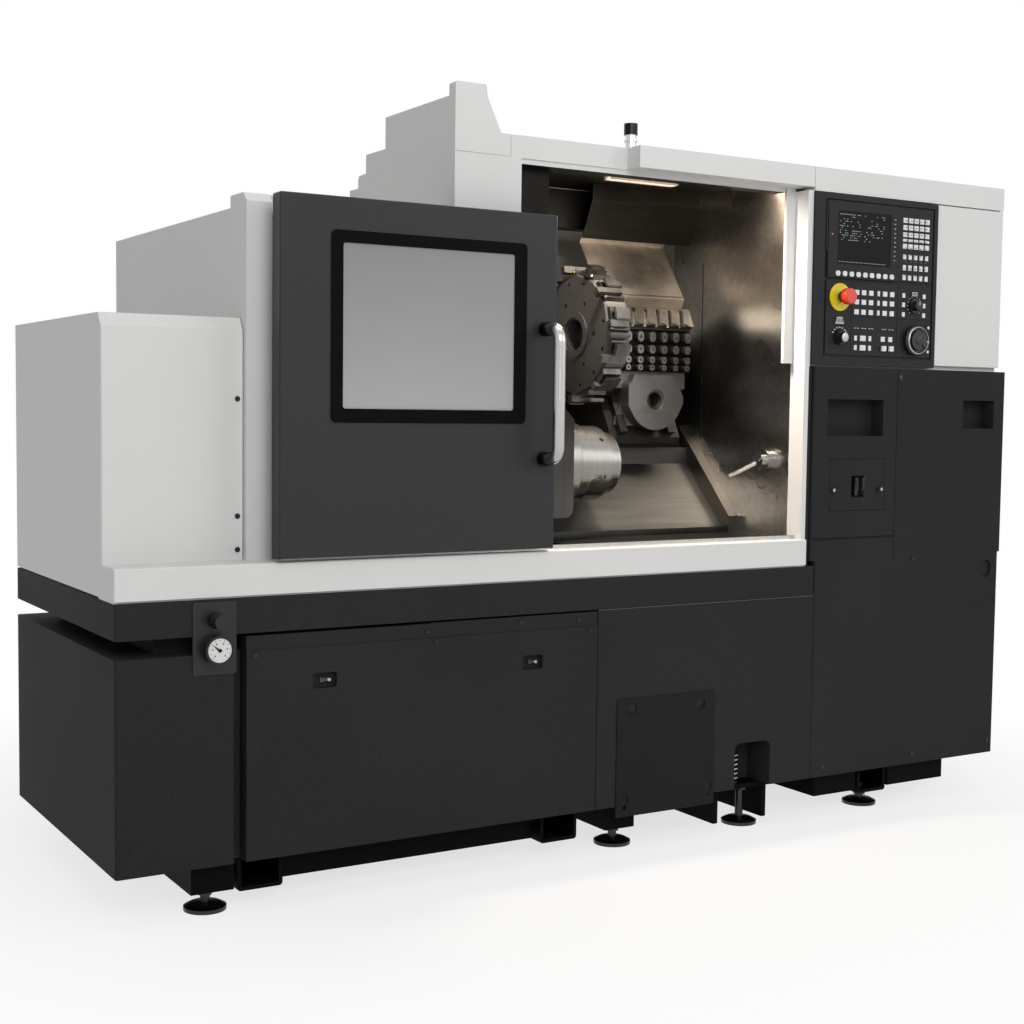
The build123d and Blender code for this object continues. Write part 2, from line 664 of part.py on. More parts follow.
# Slant bed under the saddle, with the lower block carrying the headstock
bed_out = -275.0
bed_left = 1185.0
bed_right = 1840.0
bed_foot = 130.0
rail_height_z = 28.0
rail_width_z = 35.0
rail_along = [175.0, 425.0]

with BuildPart() as bed:
    slab(front_panel_left, base_cabinet_left - seam, 200, frame_back, base_bottom, plinth_top)
    slab(640, 1150, 200, 820, plinth_top, headstock_box[4])
    with BuildSketch(slide_view(bed_left)):
        Polygon((bed_foot, bed_out), (500, bed_out), (440, bed_out - 112), (-264, bed_out - 112),
                (-264, bed_out - 100), (bed_foot, bed_out - 35), align=None)
    extrude(amount=bed_right - bed_left)
save(bed, "bed")

with BuildPart() as z_rails:
    for along in rail_along:
        with BuildSketch(slide_view(bed_left + 10)):
            with Locations((along, bed_out + rail_height_z / 2)):
                Rectangle(rail_width_z, rail_height_z)
                with Locations((rail_width_z / 2, 0), (-rail_width_z / 2, 0)):
                    RegularPolygon(4, 4, mode=Mode.SUBTRACT)
        extrude(amount=bed_right - bed_left - 20)
save(z_rails, "z_rails")

# Saddle running along the bed
saddle_left = 1500.0
saddle_right = 1735.0
saddle_low = 92.0
saddle_top = 470.0
saddle_out = -60.0
saddle_back = -243.0
cross_rails = [(1524.0, 1548.0), (1687.0, 1711.0)]
cross_rail_height = 20.0
block_half = 35.0

with BuildPart() as saddle:
    with BuildSketch(slide_view(saddle_left)):
        Polygon((saddle_low, saddle_out - 40), (saddle_low, saddle_out - 12), (saddle_low + 12, saddle_out),
                (saddle_top, saddle_out), (saddle_top, saddle_back), (132, saddle_back), (132, saddle_out - 68),
                (saddle_low + 20, saddle_out - 40), align=None)
        for along in rail_along:
            with Locations((along, (saddle_back + bed_out + 4) / 2)):
                Rectangle(2 * block_half, saddle_back - bed_out - 4)
    extrude(amount=saddle_right - saddle_left)
    with BuildSketch(slide_view(saddle_left)):
        for along in rail_along:
            with Locations((along, bed_out + (rail_height_z + running) / 2)):
                Rectangle(rail_width_z + 2 * running, rail_height_z + running)
    extrude(amount=saddle_right - saddle_left, mode=Mode.SUBTRACT)
    for start, end in cross_rails:
        with BuildSketch(face_view(saddle_out)):
            with Locations(((start + end) / 2, 282)):
                Rectangle(end - start, 340)
        extrude(amount=cross_rail_height)
save(saddle, "saddle")

# Cross slide with the turret bearing and the rounded boring housing
cross_left = 1482.0
cross_right = 1750.0
cross_bottom = 225.0
cross_top = 440.0
cross_back = -54.0
cross_out = 60.0
turret_shaft = 28.0
housing_front = 400.0
housing_at = (1627.0, 1108.0)
housing_bore = 25.0

slide_front = 432.0
turret_y = spindle_y + turret_along * cos(radians(slant)) - turret_out * sin(radians(slant))
turret_z = spindle_z + turret_along * sin(radians(slant)) + turret_out * cos(radians(slant))

with BuildPart() as cross_slide:
    with BuildSketch(slide_view(cross_left)):
        Polygon((cross_bottom, cross_back), (cross_top, cross_back), (cross_top, cross_out),
                on_slide(slide_front, 1272.3), on_slide(slide_front, 1140.5), align=None)
    extrude(amount=cross_right - cross_left)
    with BuildSketch(side_view(cross_left)):
        with Locations((turret_y, turret_z)):
            Circle(turret_shaft + shaft_fit)
    extrude(amount=130, mode=Mode.SUBTRACT)
    with BuildSketch(front_view(housing_front)):
        with BuildLine():
            Polyline((1537, 1150), (1552, 1160), (1700, 1160), (1722, 1118), (1722, 1098), (1704, 1066))
            ThreePointArc((1704, 1066), (1627, 1026), (1556, 1062))
            Polyline((1556, 1062), (1537, 1092), (1537, 1150))
        make_face()
    extrude(amount=-100)
    with BuildSketch(front_view(housing_front + 10)):
        Polygon((1555, 1158), (1695, 1158), (1692, 1177), (1563, 1177), align=None)
    extrude(amount=-60)
    with BuildSketch(front_view(housing_front + 40)):
        Polygon((1537, 1150), (1537, 1100), (1515, 1040), (1600, 1030), (1640, 1090), align=None)
    extrude(amount=-40)
    with BuildSketch(front_view(housing_front)):
        with Locations(housing_at):
            Circle(housing_bore)
    extrude(amount=-60, mode=Mode.SUBTRACT)
    with BuildSketch(front_view(housing_front)):
        with Locations(housing_at):
            Circle(housing_bore + 5)
    extrude(amount=-4, mode=Mode.SUBTRACT)
    with BuildSketch(slide_view(cross_left)):
        Polygon((0, cross_back), (cross_top + 20, cross_back), (cross_top + 20, cross_back - 150),
                (0, cross_back - 150), align=None)
    extrude(amount=cross_right - cross_left, mode=Mode.SUBTRACT)
    for start, end in cross_rails:
        with BuildSketch(face_view(cross_back - running)):
            with Locations(((start + end) / 2, cross_top / 2)):
                Rectangle(end - start + 2 * running, cross_top)
        extrude(amount=saddle_out + cross_rail_height - cross_back + 2 * running, mode=Mode.SUBTRACT)
save(cross_slide, "cross_slide")

# Gang tool block: clamp plate with six angled seats above four rows of tool noses
gang_left = 1500.0
gang_right = 1755.0
gang_out = 107.0
clamp_low = 365.0
clamp_high = 424.0
tool_pitch = 40.0
tool_columns = 6
tool_rows = [(1281.0, 20.0, 27.0), (1247.0, 20.0, 23.0), (1218.0, 18.0, 19.0), (1197.0, 16.0, 16.0)]
first_column = 1537.0
nose_face = 417.0
block_bottom = 1186.0
nose_reach = 14.0
seat_lean = 14.0

with BuildPart() as gang_block:
    with BuildSketch(slide_view(gang_left)):
        Polygon(on_slide(slide_front, 1272.3), (clamp_high, cross_out), (clamp_high, gang_out - 6),
                (clamp_high - 6, gang_out), (clamp_low, gang_out), (clamp_low, gang_out - 22),
                on_slide(nose_face, 1298), on_slide(nose_face, block_bottom), on_slide(slide_front, block_bottom),
                align=None)
    extrude(amount=gang_right - gang_left)
    with BuildSketch(face_view(gang_out)):
        for column in range(tool_columns):
            with Locations(Location((first_column + (column - 0.5) * tool_pitch, (clamp_low + clamp_high) / 2 - 8),
                                    -seat_lean)):
                Rectangle(9, 56)
    extrude(amount=-12, mode=Mode.SUBTRACT)
    with BuildSketch(face_view(gang_out)):
        for column in range(tool_columns):
            with Locations(Location((first_column + column * tool_pitch - 4, (clamp_low + clamp_high) / 2 - 6),
                                    -seat_lean)):
                Rectangle(20, 42)
    extrude(amount=4)
    with BuildSketch(front_view(nose_face)):
        for column in range(tool_columns):
            for z, width, height in tool_rows:
                with Locations((first_column + column * tool_pitch, z)):
                    RectangleRounded(width, height, width / 2 - 1)
    extrude(amount=nose_reach)
    with BuildSketch(front_view(nose_face - nose_reach)):
        for column in range(tool_columns):
            for z, width, height in tool_rows:
                with Locations((first_column + column * tool_pitch, z)):
                    Rectangle(width / 3, height / 3)
    extrude(amount=-5, mode=Mode.SUBTRACT)
save(gang_block, "gang_block")

# Bent sheet over the slide ways, standing on the cross slide
sheet_thick = 2.0

with BuildPart() as way_cover:
    with BuildSketch(slide_view(1478)):
        with BuildLine() as sheet_line:
            Polyline((cross_top + 1, 0), (cross_top + 1, 64), (462, 90), (645, 66), (651, 76))
            offset(amount=sheet_thick / 2)
        make_face()
    extrude(amount=1764 - 1478)
    with BuildSketch(slide_view(1490)):
        Polygon((464, 89), (482, 87), (483, 96), (465, 98), align=None)
    extrude(amount=262)
save(way_cover, "way_cover")

# Drum turret: disc with its hub and shaft, and the tool holders around the rim
disc_left = 1410.0
disc_right = 1474.0
disc_radius = 166.0
hub_hole = 41.0
stations = 12
first_station = 167.0
flat_radius = disc_radius * cos(radians(180 / stations))

with BuildPart() as turret_disc:
    with BuildSketch(side_view(disc_left)):
        with Locations((turret_y, turret_z)):
            RegularPolygon(disc_radius, stations, rotation=first_station - 165)
    extrude(amount=disc_right - disc_left)
    chamfer(turret_disc.faces().filter_by(Axis.X).sort_by(Axis.X)[0].edges(), 6)
    with BuildSketch(side_view(disc_left)):
        with Locations((turret_y, turret_z)):
            Circle(hub_hole)
    extrude(amount=30, mode=Mode.SUBTRACT)
    with BuildSketch(side_view(disc_left)):
        with Locations((turret_y, turret_z)):
            Circle(hub_hole + 22)
            Circle(hub_hole + 6, mode=Mode.SUBTRACT)
    extrude(amount=-4)
    with BuildSketch(side_view(disc_left)):
        with Locations((turret_y, turret_z)):
            with PolarLocations(92, 6):
                Circle(6)
            with PolarLocations(140, stations, first_station):
                Circle(5)
    extrude(amount=8, mode=Mode.SUBTRACT)
    with BuildSketch(side_view(disc_right)):
        with Locations((turret_y, turret_z)):
            Circle(turret_shaft)
    extrude(amount=120)
save(turret_disc, "turret_disc")

# A clamped tool on each flat: base block, wedge strip and square shank with its tip towards the chuck
holder_width = 70.0
holder_height = 12.0
shank_side = 18.0

with BuildPart() as tool_holders:
    for station in range(stations):
        angle = 360 / stations * station + first_station
        seat = Plane(origin=spot(disc_left, turret_y, turret_z), x_dir=(0, cos(radians(angle)), sin(radians(angle))),
                     z_dir=(1, 0, 0))
        with BuildSketch(seat.offset(4)):
            Polygon((flat_radius, -holder_width / 2), (flat_radius + holder_height, -holder_width / 2 + 8),
                    (flat_radius + holder_height, holder_width / 2 - 3), (flat_radius, holder_width / 2), align=None)
        extrude(amount=disc_right - disc_left - 8)
        tool_reach = 26 if station % 2 else 8
        with BuildSketch(seat.offset(-tool_reach)):
            with Locations((flat_radius + holder_height + shank_side / 2 - 6, holder_width / 2 - 18)):
                Rectangle(shank_side, shank_side)
        extrude(amount=tool_reach + disc_right - disc_left - 14)
        out = Plane(origin=seat.from_local_coords((flat_radius + holder_height, -10, 26)),
                    x_dir=(1, 0, 0), z_dir=seat.x_dir)
        with BuildSketch(out):
            with GridLocations(24, 1, 2, 1):
                Circle(6)
        extrude(amount=-7, mode=Mode.SUBTRACT)
save(tool_holders, "tool_holders")

# Coolant nozzle on the right wall
nozzle_y = 183.0
nozzle_z = 949.0

with BuildPart() as wall_nozzle:
    with BuildSketch(side_view(wall_x - 22)):
        with Locations((nozzle_y, nozzle_z)):
            Circle(30)
    extrude(amount=22)
    with BuildSketch(side_view(wall_x - 34)):
        with Locations((nozzle_y, nozzle_z)):
            Circle(17)
    extrude(amount=12)
    nozzle_tip = spot(1768, 246, 903)
    nozzle_root = spot(wall_x - 24, nozzle_y + 8, nozzle_z - 4)
    with BuildLine() as nozzle_line:
        Line(nozzle_root, nozzle_tip)
    with BuildSketch(Plane(origin=nozzle_root, z_dir=nozzle_line.edges()[0] % 0)):
        Circle(7)
    sweep(path=nozzle_line.wires()[0])
save(wall_nozzle, "wall_nozzle")

# Control housing: bezel, screen recess, key panels and the bores of the switches
housing_face = 1.0
bore_back = 19.0
stem_radius = 8.0
small_stem = 4.0
estop_at = (control_left + 93.0, 1382.0)
mode_at = (control_left + 91.0, 1276.0)
override_at = (control_left + 360.0, 1370.0)
wheel_at = (control_left + 362.0, 1277.0)
start_at = (control_left + 249.0, 1252.0)
hold_at = (control_left + 276.0, 1252.0)
wheel_stem = 6.0
screen_box = (control_left + 77.0, control_left + 266.0, 1468.0, 1606.0)
unit_front = -3.0
units_left = control_left + 45.0
units_right = control_left + 425.0
pad_unit_left = control_left + 293.0

with BuildPart() as control_housing:
    slab(control_left, panel_step, 0, 20, 1205, 1648)
    fillet(control_housing.edges().filter_by(Axis.Y), 5)
    slab(units_left - 8, units_right + 6, 0, 5, 1226, 1634, mode=Mode.SUBTRACT)
    slab(units_left, pad_unit_left - 4, unit_front, 5, 1432, 1630)
    slab(pad_unit_left, units_right, housing_face, 5, 1434, 1630)
    slab(units_left, units_right, housing_face, 5, 1232, 1424)
    slab(screen_box[0], screen_box[1], unit_front, 0, screen_box[2], screen_box[3], mode=Mode.SUBTRACT)
    slab(units_left - 6, units_left - 2, -2, 5, 1500, 1628)
    for x in (units_left + 88, units_left + 254):
        slab(x, x + 1.5, housing_face, 2.5, 1234, 1422, mode=Mode.SUBTRACT)
    slab(units_left + 91, units_right - 2, housing_face, 2.5, 1332, 1333.5, mode=Mode.SUBTRACT)
    with BuildSketch(front_view(-5)):
        with Locations(estop_at):
            Circle(stem_radius + shaft_fit)
        with Locations(mode_at, override_at, start_at, hold_at):
            Circle(small_stem + shaft_fit)
        with Locations(wheel_at):
            Circle(wheel_stem + shaft_fit)
    extrude(amount=-(bore_back + 5), mode=Mode.SUBTRACT)
save(control_housing, "control_housing")

with BuildPart() as screen:
    slab(screen_box[0] + 0.5, screen_box[1] - 0.5, -2, 0, screen_box[2] + 0.5, screen_box[3] - 0.5)
save(screen, "screen")

# Keys of the panel: operator keys, letter and figure keys, and the row under the screen
key_rise = 2.0
operator_columns = [control_left + x for x in (152.0, 177.0, 203.0, 230.0, 253.0, 279.0)]
lamp_column = 3
operator_rows = [1397.0, 1372.0, 1346.0]
pad_rows = [(1597.0, 13.0), (1578.0, 13.0), (1559.0, 12.0), (1544.0, 7.0), (1528.0, 13.0),
            (1500.0, 13.0), (1471.0, 14.0), (1445.0, 14.0)]
pad_first = control_left + 321.0
pad_pitch = 20.5
soft_first = control_left + 80.0
lower_rows = [1277.0, 1252.0]
soft_pitch = 24.0

with BuildPart() as keypad:
    with BuildSketch(front_view(housing_face)):
        for z in operator_rows:
            for column, x in enumerate(operator_columns):
                with Locations((x, z)):
                    Rectangle(8 if column == lamp_column else 15, 13)
        for z, height in pad_rows:
            with Locations(*[(pad_first + pad_pitch * column, z) for column in range(5)]):
                Rectangle(15 if z > 1520 else 11, height)
        for z in lower_rows:
            with Locations((control_left + 151, z), (control_left + 202, z)):
                Rectangle(9, 13)
            with Locations((control_left + 177, z)):
                Rectangle(20, 14)
        with Locations((start_at[0], lower_rows[0]), (hold_at[0], lower_rows[0])):
            Rectangle(14, 13)
        for z in operator_rows:
            with Locations((control_left + 322, z), (control_left + 398, z)):
                Rectangle(10, 12)
    extrude(amount=key_rise)
    with BuildSketch(front_view(unit_front)):
        with Locations(*[(soft_first + soft_pitch * key, 1443) for key in range(9)]):
            RectangleRounded(15, 13, 5)
    extrude(amount=key_rise)
save(keypad, "keypad")

# Emergency stop: yellow plate, sliding stem and twisting mushroom cap
estop_plate_radius = 36.0
stem_front = -32.0
stem_end = 12.0
cap_radius = 21.0
cap_back = -24.0
cap_front = -44.0
shroud_radius = 15.0

with BuildPart() as estop_plate:
    with BuildSketch(front_view(housing_face)):
        with Locations(estop_at):
            Circle(estop_plate_radius)
            Circle(stem_radius + shaft_fit, mode=Mode.SUBTRACT)
    extrude(amount=2)
save(estop_plate, "estop_plate")

with BuildPart() as estop_stem:
    with BuildSketch(front_view(stem_end)):
        with Locations(estop_at):
            Circle(stem_radius)
    extrude(amount=stem_end - stem_front)
    with BuildSketch(front_view(-9)):
        with Locations(estop_at):
            Circle(shroud_radius)
    extrude(amount=12)
save(estop_stem, "estop_stem")

with BuildPart() as estop_cap:
    with BuildSketch(front_view(cap_back)):
        with Locations(estop_at):
            Circle(cap_radius)
    extrude(amount=cap_back - cap_front)
    fillet(estop_cap.edges().filter_by(GeomType.CIRCLE).group_by(Axis.Y)[0], 5)
    with BuildSketch(front_view(cap_back)):
        with Locations(estop_at):
            Circle(stem_radius + shaft_fit)
    extrude(amount=cap_back - stem_front + 1, mode=Mode.SUBTRACT)
save(estop_cap, "estop_cap")

# Turned knobs: mode switch, feed override and handwheel
knob_gap = 0.5

with BuildPart() as mode_knob:
    with BuildSketch(front_view(housing_face - knob_gap)):
        with Locations(mode_at):
            Circle(19)
    extrude(amount=12, taper=12)
    with BuildSketch(front_view(housing_face - knob_gap - 12)):
        with Locations(Location(mode_at, -30)):
            RectangleRounded(11, 30, 4)
    extrude(amount=14)
    with BuildSketch(front_view(housing_face - knob_gap)):
        with Locations(mode_at):
            Circle(small_stem)
    extrude(amount=-14)
save(mode_knob, "mode_knob")

with BuildPart() as override_knob:
    with BuildSketch(front_view(housing_face - knob_gap)):
        with Locations(override_at):
            Circle(19)
    extrude(amount=6)
    with BuildSketch(front_view(housing_face - knob_gap - 6)):
        with Locations(override_at):
            Circle(14)
    extrude(amount=16, taper=6)
    with BuildSketch(front_view(housing_face - knob_gap)):
        with Locations(override_at):
            Circle(small_stem)
    extrude(amount=-14)
save(override_knob, "override_knob")

with BuildPart() as handwheel:
    with BuildSketch(front_view(housing_face - knob_gap)):
        with Locations(wheel_at):
            Circle(39)
    extrude(amount=14)
    fillet(handwheel.edges().filter_by(GeomType.CIRCLE).group_by(Axis.Y)[0], 4)
    with BuildSketch(front_view(housing_face - knob_gap - 14)):
        with Locations(wheel_at):
            Circle(27)
    extrude(amount=8, taper=10)
    with BuildSketch(front_view(housing_face - knob_gap)):
        with Locations(wheel_at):
            Circle(wheel_stem)
    extrude(amount=-14)
save(handwheel, "handwheel")

# Start and hold push buttons on their stems
button_travel = 3.0

with BuildPart() as cycle_start:
    with BuildSketch(front_view(housing_face - button_travel - 0.4)):
        with Locations(start_at):
            RectangleRounded(15, 14, 2)
    extrude(amount=5)
    with BuildSketch(front_view(housing_face - button_travel - 0.4)):
        with Locations(start_at):
            Circle(small_stem)
    extrude(amount=-14)
save(cycle_start, "cycle_start")

with BuildPart() as feed_hold:
    with BuildSketch(front_view(housing_face - button_travel - 0.4)):
        with Locations(hold_at):
            RectangleRounded(15, 14, 2)
    extrude(amount=5)
    with BuildSketch(front_view(housing_face - button_travel - 0.4)):
        with Locations(hold_at):
            Circle(small_stem)
    extrude(amount=-14)
save(feed_hold, "feed_hold")

# Air panel: gauge plate, pressure gauge with its needle and the regulator knob
gauge_box = (162.0, 257.0, 519.0, 672.0)
gauge_at = (212.0, 573.0)
gauge_radius = 31.0
gauge_front = -30.0
dial_depth = 2.5
needle_pin = 1.5
regulator_at = (211.0, 633.0)
regulator_stem = 6.0
regulator_boss = 13.0

with BuildPart() as gauge_plate:
    with BuildSketch(front_view(0)):
        with Locations(((gauge_box[0] + gauge_box[1]) / 2, (gauge_box[2] + gauge_box[3]) / 2)):
            RectangleRounded(gauge_box[1] - gauge_box[0], gauge_box[3] - gauge_box[2], 5)
    extrude(amount=sheet)
    with BuildSketch(front_view(-sheet)):
        with Locations(regulator_at):
            Circle(regulator_boss)
    extrude(amount=6)
    with BuildSketch(front_view(0)):
        with Locations(regulator_at):
            Circle(regulator_stem + shaft_fit)
    extrude(amount=20, mode=Mode.SUBTRACT)
save(gauge_plate, "gauge_plate")

with BuildPart() as regulator_knob:
    with BuildSketch(front_view(-sheet - 6.5)):
        with Locations(regulator_at):
            Circle(17)
    extrude(amount=34, taper=3)
    with BuildSketch(front_view(-sheet - 6.5)):
        with Locations(regulator_at):
            Circle(regulator_stem)
    extrude(amount=-8.5)
save(regulator_knob, "regulator_knob")

with BuildPart() as pressure_gauge:
    with BuildSketch(front_view(-sheet)):
        with Locations(gauge_at):
            Circle(gauge_radius - 3)
    extrude(amount=-gauge_front - sheet - 8)
    with BuildSketch(front_view(gauge_front + 8)):
        with Locations(gauge_at):
            Circle(gauge_radius)
    extrude(amount=8)
    with BuildSketch(front_view(gauge_front)):
        with Locations(gauge_at):
            Circle(gauge_radius - 4)
    extrude(amount=-dial_depth, mode=Mode.SUBTRACT)
    with BuildSketch(front_view(gauge_front)):
        with Locations(gauge_at):
            Circle(needle_pin + shaft_fit)
    extrude(amount=-14, mode=Mode.SUBTRACT)
save(pressure_gauge, "pressure_gauge")

with BuildPart() as gauge_needle:
    with BuildSketch(front_view(gauge_front + dial_depth - 0.6)):
        Polygon(gauge_at, (gauge_at[0] - 2.5, gauge_at[1] - 2.5), (gauge_at[0] - 16, gauge_at[1] + 13),
                (gauge_at[0] - 1, gauge_at[1] + 3), align=None)
        with Locations(gauge_at):
            Circle(4)
    extrude(amount=0.8)
    with BuildSketch(front_view(gauge_front + dial_depth - 0.6)):
        with Locations(gauge_at):
            Circle(needle_pin)
    extrude(amount=-9)
save(gauge_needle, "gauge_needle")

# Button-head screws of the covers
screw_radius = 6.0
screw_rise = 2.5
base_screws = [(732.0, 552.0), (panel_seam - 25.0, 552.0), (front_panel_left + 19.0, 552.0),
               (base_cabinet_left + 43.0, 138.0), (length - 329.0, 141.0), (length - 31.0, 147.0),
               (length - 344.0, 682.0)]
strip_screws = [(strip_step - 8.0, 576.0), (957.0, 582.0), (panel_seam - 56.0, 578.0)]
cover_screws = [(cover_left - 14.0, z) for z in (1093.0, 842.0, 770.0)]

with BuildPart() as panel_screws:
    for plane_y, points in ((0, base_screws), (2, strip_screws), (left_cover_front, cover_screws)):
        with BuildSketch(front_view(plane_y)):
            with Locations(*points):
                RegularPolygon(screw_radius, 8)
        extrude(amount=screw_rise)
save(panel_screws, "panel_screws")

# Knurled fitting on the roof, at the step of the header
fitting_at = (header_step + 21.0, 74.0)
fitting_neck = 34.0

with BuildPart() as top_fitting:
    with BuildSketch(top_view(header_top)):
        with Locations(fitting_at):
            Circle(13)
    extrude(amount=fitting_neck)
    with BuildSketch(top_view(header_top + 18)):
        with Locations(fitting_at):
            Circle(16)
    extrude(amount=5)
    with BuildSketch(top_view(header_top + fitting_neck)):
        with Locations(fitting_at):
            RegularPolygon(17, 14)
    extrude(amount=28)
save(top_fitting, "top_fitting")
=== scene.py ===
import bpy
import bmesh
import math
import random
from mathutils import Matrix, Vector


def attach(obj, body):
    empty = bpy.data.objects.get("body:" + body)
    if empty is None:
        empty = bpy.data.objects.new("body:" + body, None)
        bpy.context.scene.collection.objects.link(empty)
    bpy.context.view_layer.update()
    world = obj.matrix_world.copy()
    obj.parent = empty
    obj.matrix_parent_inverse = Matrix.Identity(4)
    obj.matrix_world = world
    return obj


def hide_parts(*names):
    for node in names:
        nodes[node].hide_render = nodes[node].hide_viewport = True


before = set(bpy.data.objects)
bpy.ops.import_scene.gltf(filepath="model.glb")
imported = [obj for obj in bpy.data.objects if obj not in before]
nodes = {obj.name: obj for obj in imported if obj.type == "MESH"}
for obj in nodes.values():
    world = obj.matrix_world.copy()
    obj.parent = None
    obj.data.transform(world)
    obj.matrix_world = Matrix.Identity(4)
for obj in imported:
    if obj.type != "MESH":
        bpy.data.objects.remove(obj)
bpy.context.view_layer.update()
random.seed(7)

# Places are in millimetres, from the left end, the front plane and the floor
halfLength = 1280.0
frontShift = 469.75


def at(x, y, z):
    return Vector(((x - halfLength) / 1000, (y - frontShift) / 1000, z / 1000))


# Camera, placed where the photograph was taken
camSet = {"place": (-911.3, -3045.8, 1076.9), "yaw": 0.54344, "pitch": -0.06608, "roll": 0.012275,
          "lens": 54.315, "sensor": 36, "far": 50}
camData = bpy.data.cameras.new("photoCamera")
camData.lens = camSet["lens"]
camData.sensor_width = camSet["sensor"]
camera = bpy.data.objects.new("photoCamera", camData)
bpy.context.collection.objects.link(camera)
ahead = Vector((math.sin(camSet["yaw"]) * math.cos(camSet["pitch"]),
                math.cos(camSet["yaw"]) * math.cos(camSet["pitch"]),
                math.sin(camSet["pitch"])))
side = Vector((math.cos(camSet["yaw"]), -math.sin(camSet["yaw"]), 0))
above = side.cross(ahead)
rollCos, rollSin = math.cos(camSet["roll"]), math.sin(camSet["roll"])
rolledSide = side * rollCos + above * rollSin
rolledAbove = above * rollCos - side * rollSin
camTurn = Matrix((rolledSide, rolledAbove, -ahead)).transposed()
camera.rotation_mode = "QUATERNION"
camera.rotation_quaternion = camTurn.to_quaternion()
camera.location = at(*camSet["place"])
camData.clip_end = camSet["far"]
bpy.context.scene.camera = camera
print("camera set")


# Materials
def newMat(name):
    mat = bpy.data.materials.new(name)
    mat.use_nodes = True
    tree = mat.node_tree
    shader = tree.nodes["Principled BSDF"]
    return mat, tree, shader


def link(tree, a, b):
    tree.links.new(a, b)


def noiseNode(tree, coord, scale, detail=3, stretch=None):
    node = tree.nodes.new("ShaderNodeTexNoise")
    node.inputs["Scale"].default_value = scale
    node.inputs["Detail"].default_value = detail
    source = coord.outputs["Object"]
    if stretch:
        mapping = tree.nodes.new("ShaderNodeMapping")
        mapping.inputs["Scale"].default_value = stretch
        link(tree, source, mapping.inputs["Vector"])
        source = mapping.outputs["Vector"]
    link(tree, source, node.inputs["Vector"])
    return node


def rampNode(tree, source, stops):
    ramp = tree.nodes.new("ShaderNodeValToRGB")
    link(tree, source, ramp.inputs["Fac"])
    elements = ramp.color_ramp.elements
    while len(elements) < len(stops):
        elements.new(0.5)
    for element, (place, value) in zip(elements, stops):
        element.position = place
        element.color = value if len(value) == 4 else (*value, 1)
    return ramp


def bumpFrom(tree, shader, source, strength, distance):
    bump = tree.nodes.new("ShaderNodeBump")
    bump.inputs["Strength"].default_value = strength
    bump.inputs["Distance"].default_value = distance
    link(tree, source, bump.inputs["Height"])
    link(tree, bump.outputs["Normal"], shader.inputs["Normal"])


def shade(color, factor):
    return tuple(min(1, c * factor) for c in color)


def multiplied(tree, first, second):
    mix = tree.nodes.new("ShaderNodeMixRGB")
    mix.blend_type = "MULTIPLY"
    mix.inputs["Fac"].default_value = 1
    link(tree, first, mix.inputs["Color1"])
    link(tree, second, mix.inputs["Color2"])
    return mix.outputs["Color"]


def allOf(tree, tests):
    product = tests[0]
    for test in tests[1:]:
        both = tree.nodes.new("ShaderNodeMath")
        both.operation = "MULTIPLY"
        link(tree, product, both.inputs[0])
        link(tree, test, both.inputs[1])
        product = both.outputs["Value"]
    return product


def axisSpan(tree, axis, low, high):
    coord = tree.nodes.new("ShaderNodeTexCoord")
    split = tree.nodes.new("ShaderNodeSeparateXYZ")
    link(tree, coord.outputs["Object"], split.inputs["Vector"])
    span = tree.nodes.new("ShaderNodeMapRange")
    span.inputs["From Min"].default_value = low
    span.inputs["From Max"].default_value = high
    link(tree, split.outputs[axis], span.inputs["Value"])
    return span.outputs["Result"]


def paint(name, color, rough, metal=0.0, grain=900, grainBump=0.08, blotch=0.06, speckle=0.0, gloss=0.5):
    mat, tree, shader = newMat(name)
    coord = tree.nodes.new("ShaderNodeTexCoord")
    broad = noiseNode(tree, coord, 2.3, 4)
    ramp = rampNode(tree, broad.outputs["Fac"],
                    [(0.3, shade(color, 1 - blotch)), (0.7, shade(color, 1 + blotch))])
    base = ramp.outputs["Color"]
    fine = noiseNode(tree, coord, grain, 2)
    if speckle:
        dots = noiseNode(tree, coord, 1400, 1)
        dotRamp = rampNode(tree, dots.outputs["Fac"], [(0.60, (0, 0, 0)), (0.72, (1, 1, 1))])
        mix = tree.nodes.new("ShaderNodeMixRGB")
        mix.inputs["Color2"].default_value = (*shade(color, 1 + speckle), 1)
        link(tree, dotRamp.outputs["Color"], mix.inputs["Fac"])
        link(tree, base, mix.inputs["Color1"])
        base = mix.outputs["Color"]
    link(tree, base, shader.inputs["Base Color"])
    roughRamp = rampNode(tree, broad.outputs["Fac"],
                         [(0.3, (rough * 0.92,) * 3), (0.7, (min(1, rough * 1.08),) * 3)])
    link(tree, roughRamp.outputs["Color"], shader.inputs["Roughness"])
    shader.inputs["Metallic"].default_value = metal
    shader.inputs["Specular IOR Level"].default_value = gloss
    bumpFrom(tree, shader, fine.outputs["Fac"], grainBump, 0.0006)
    return mat


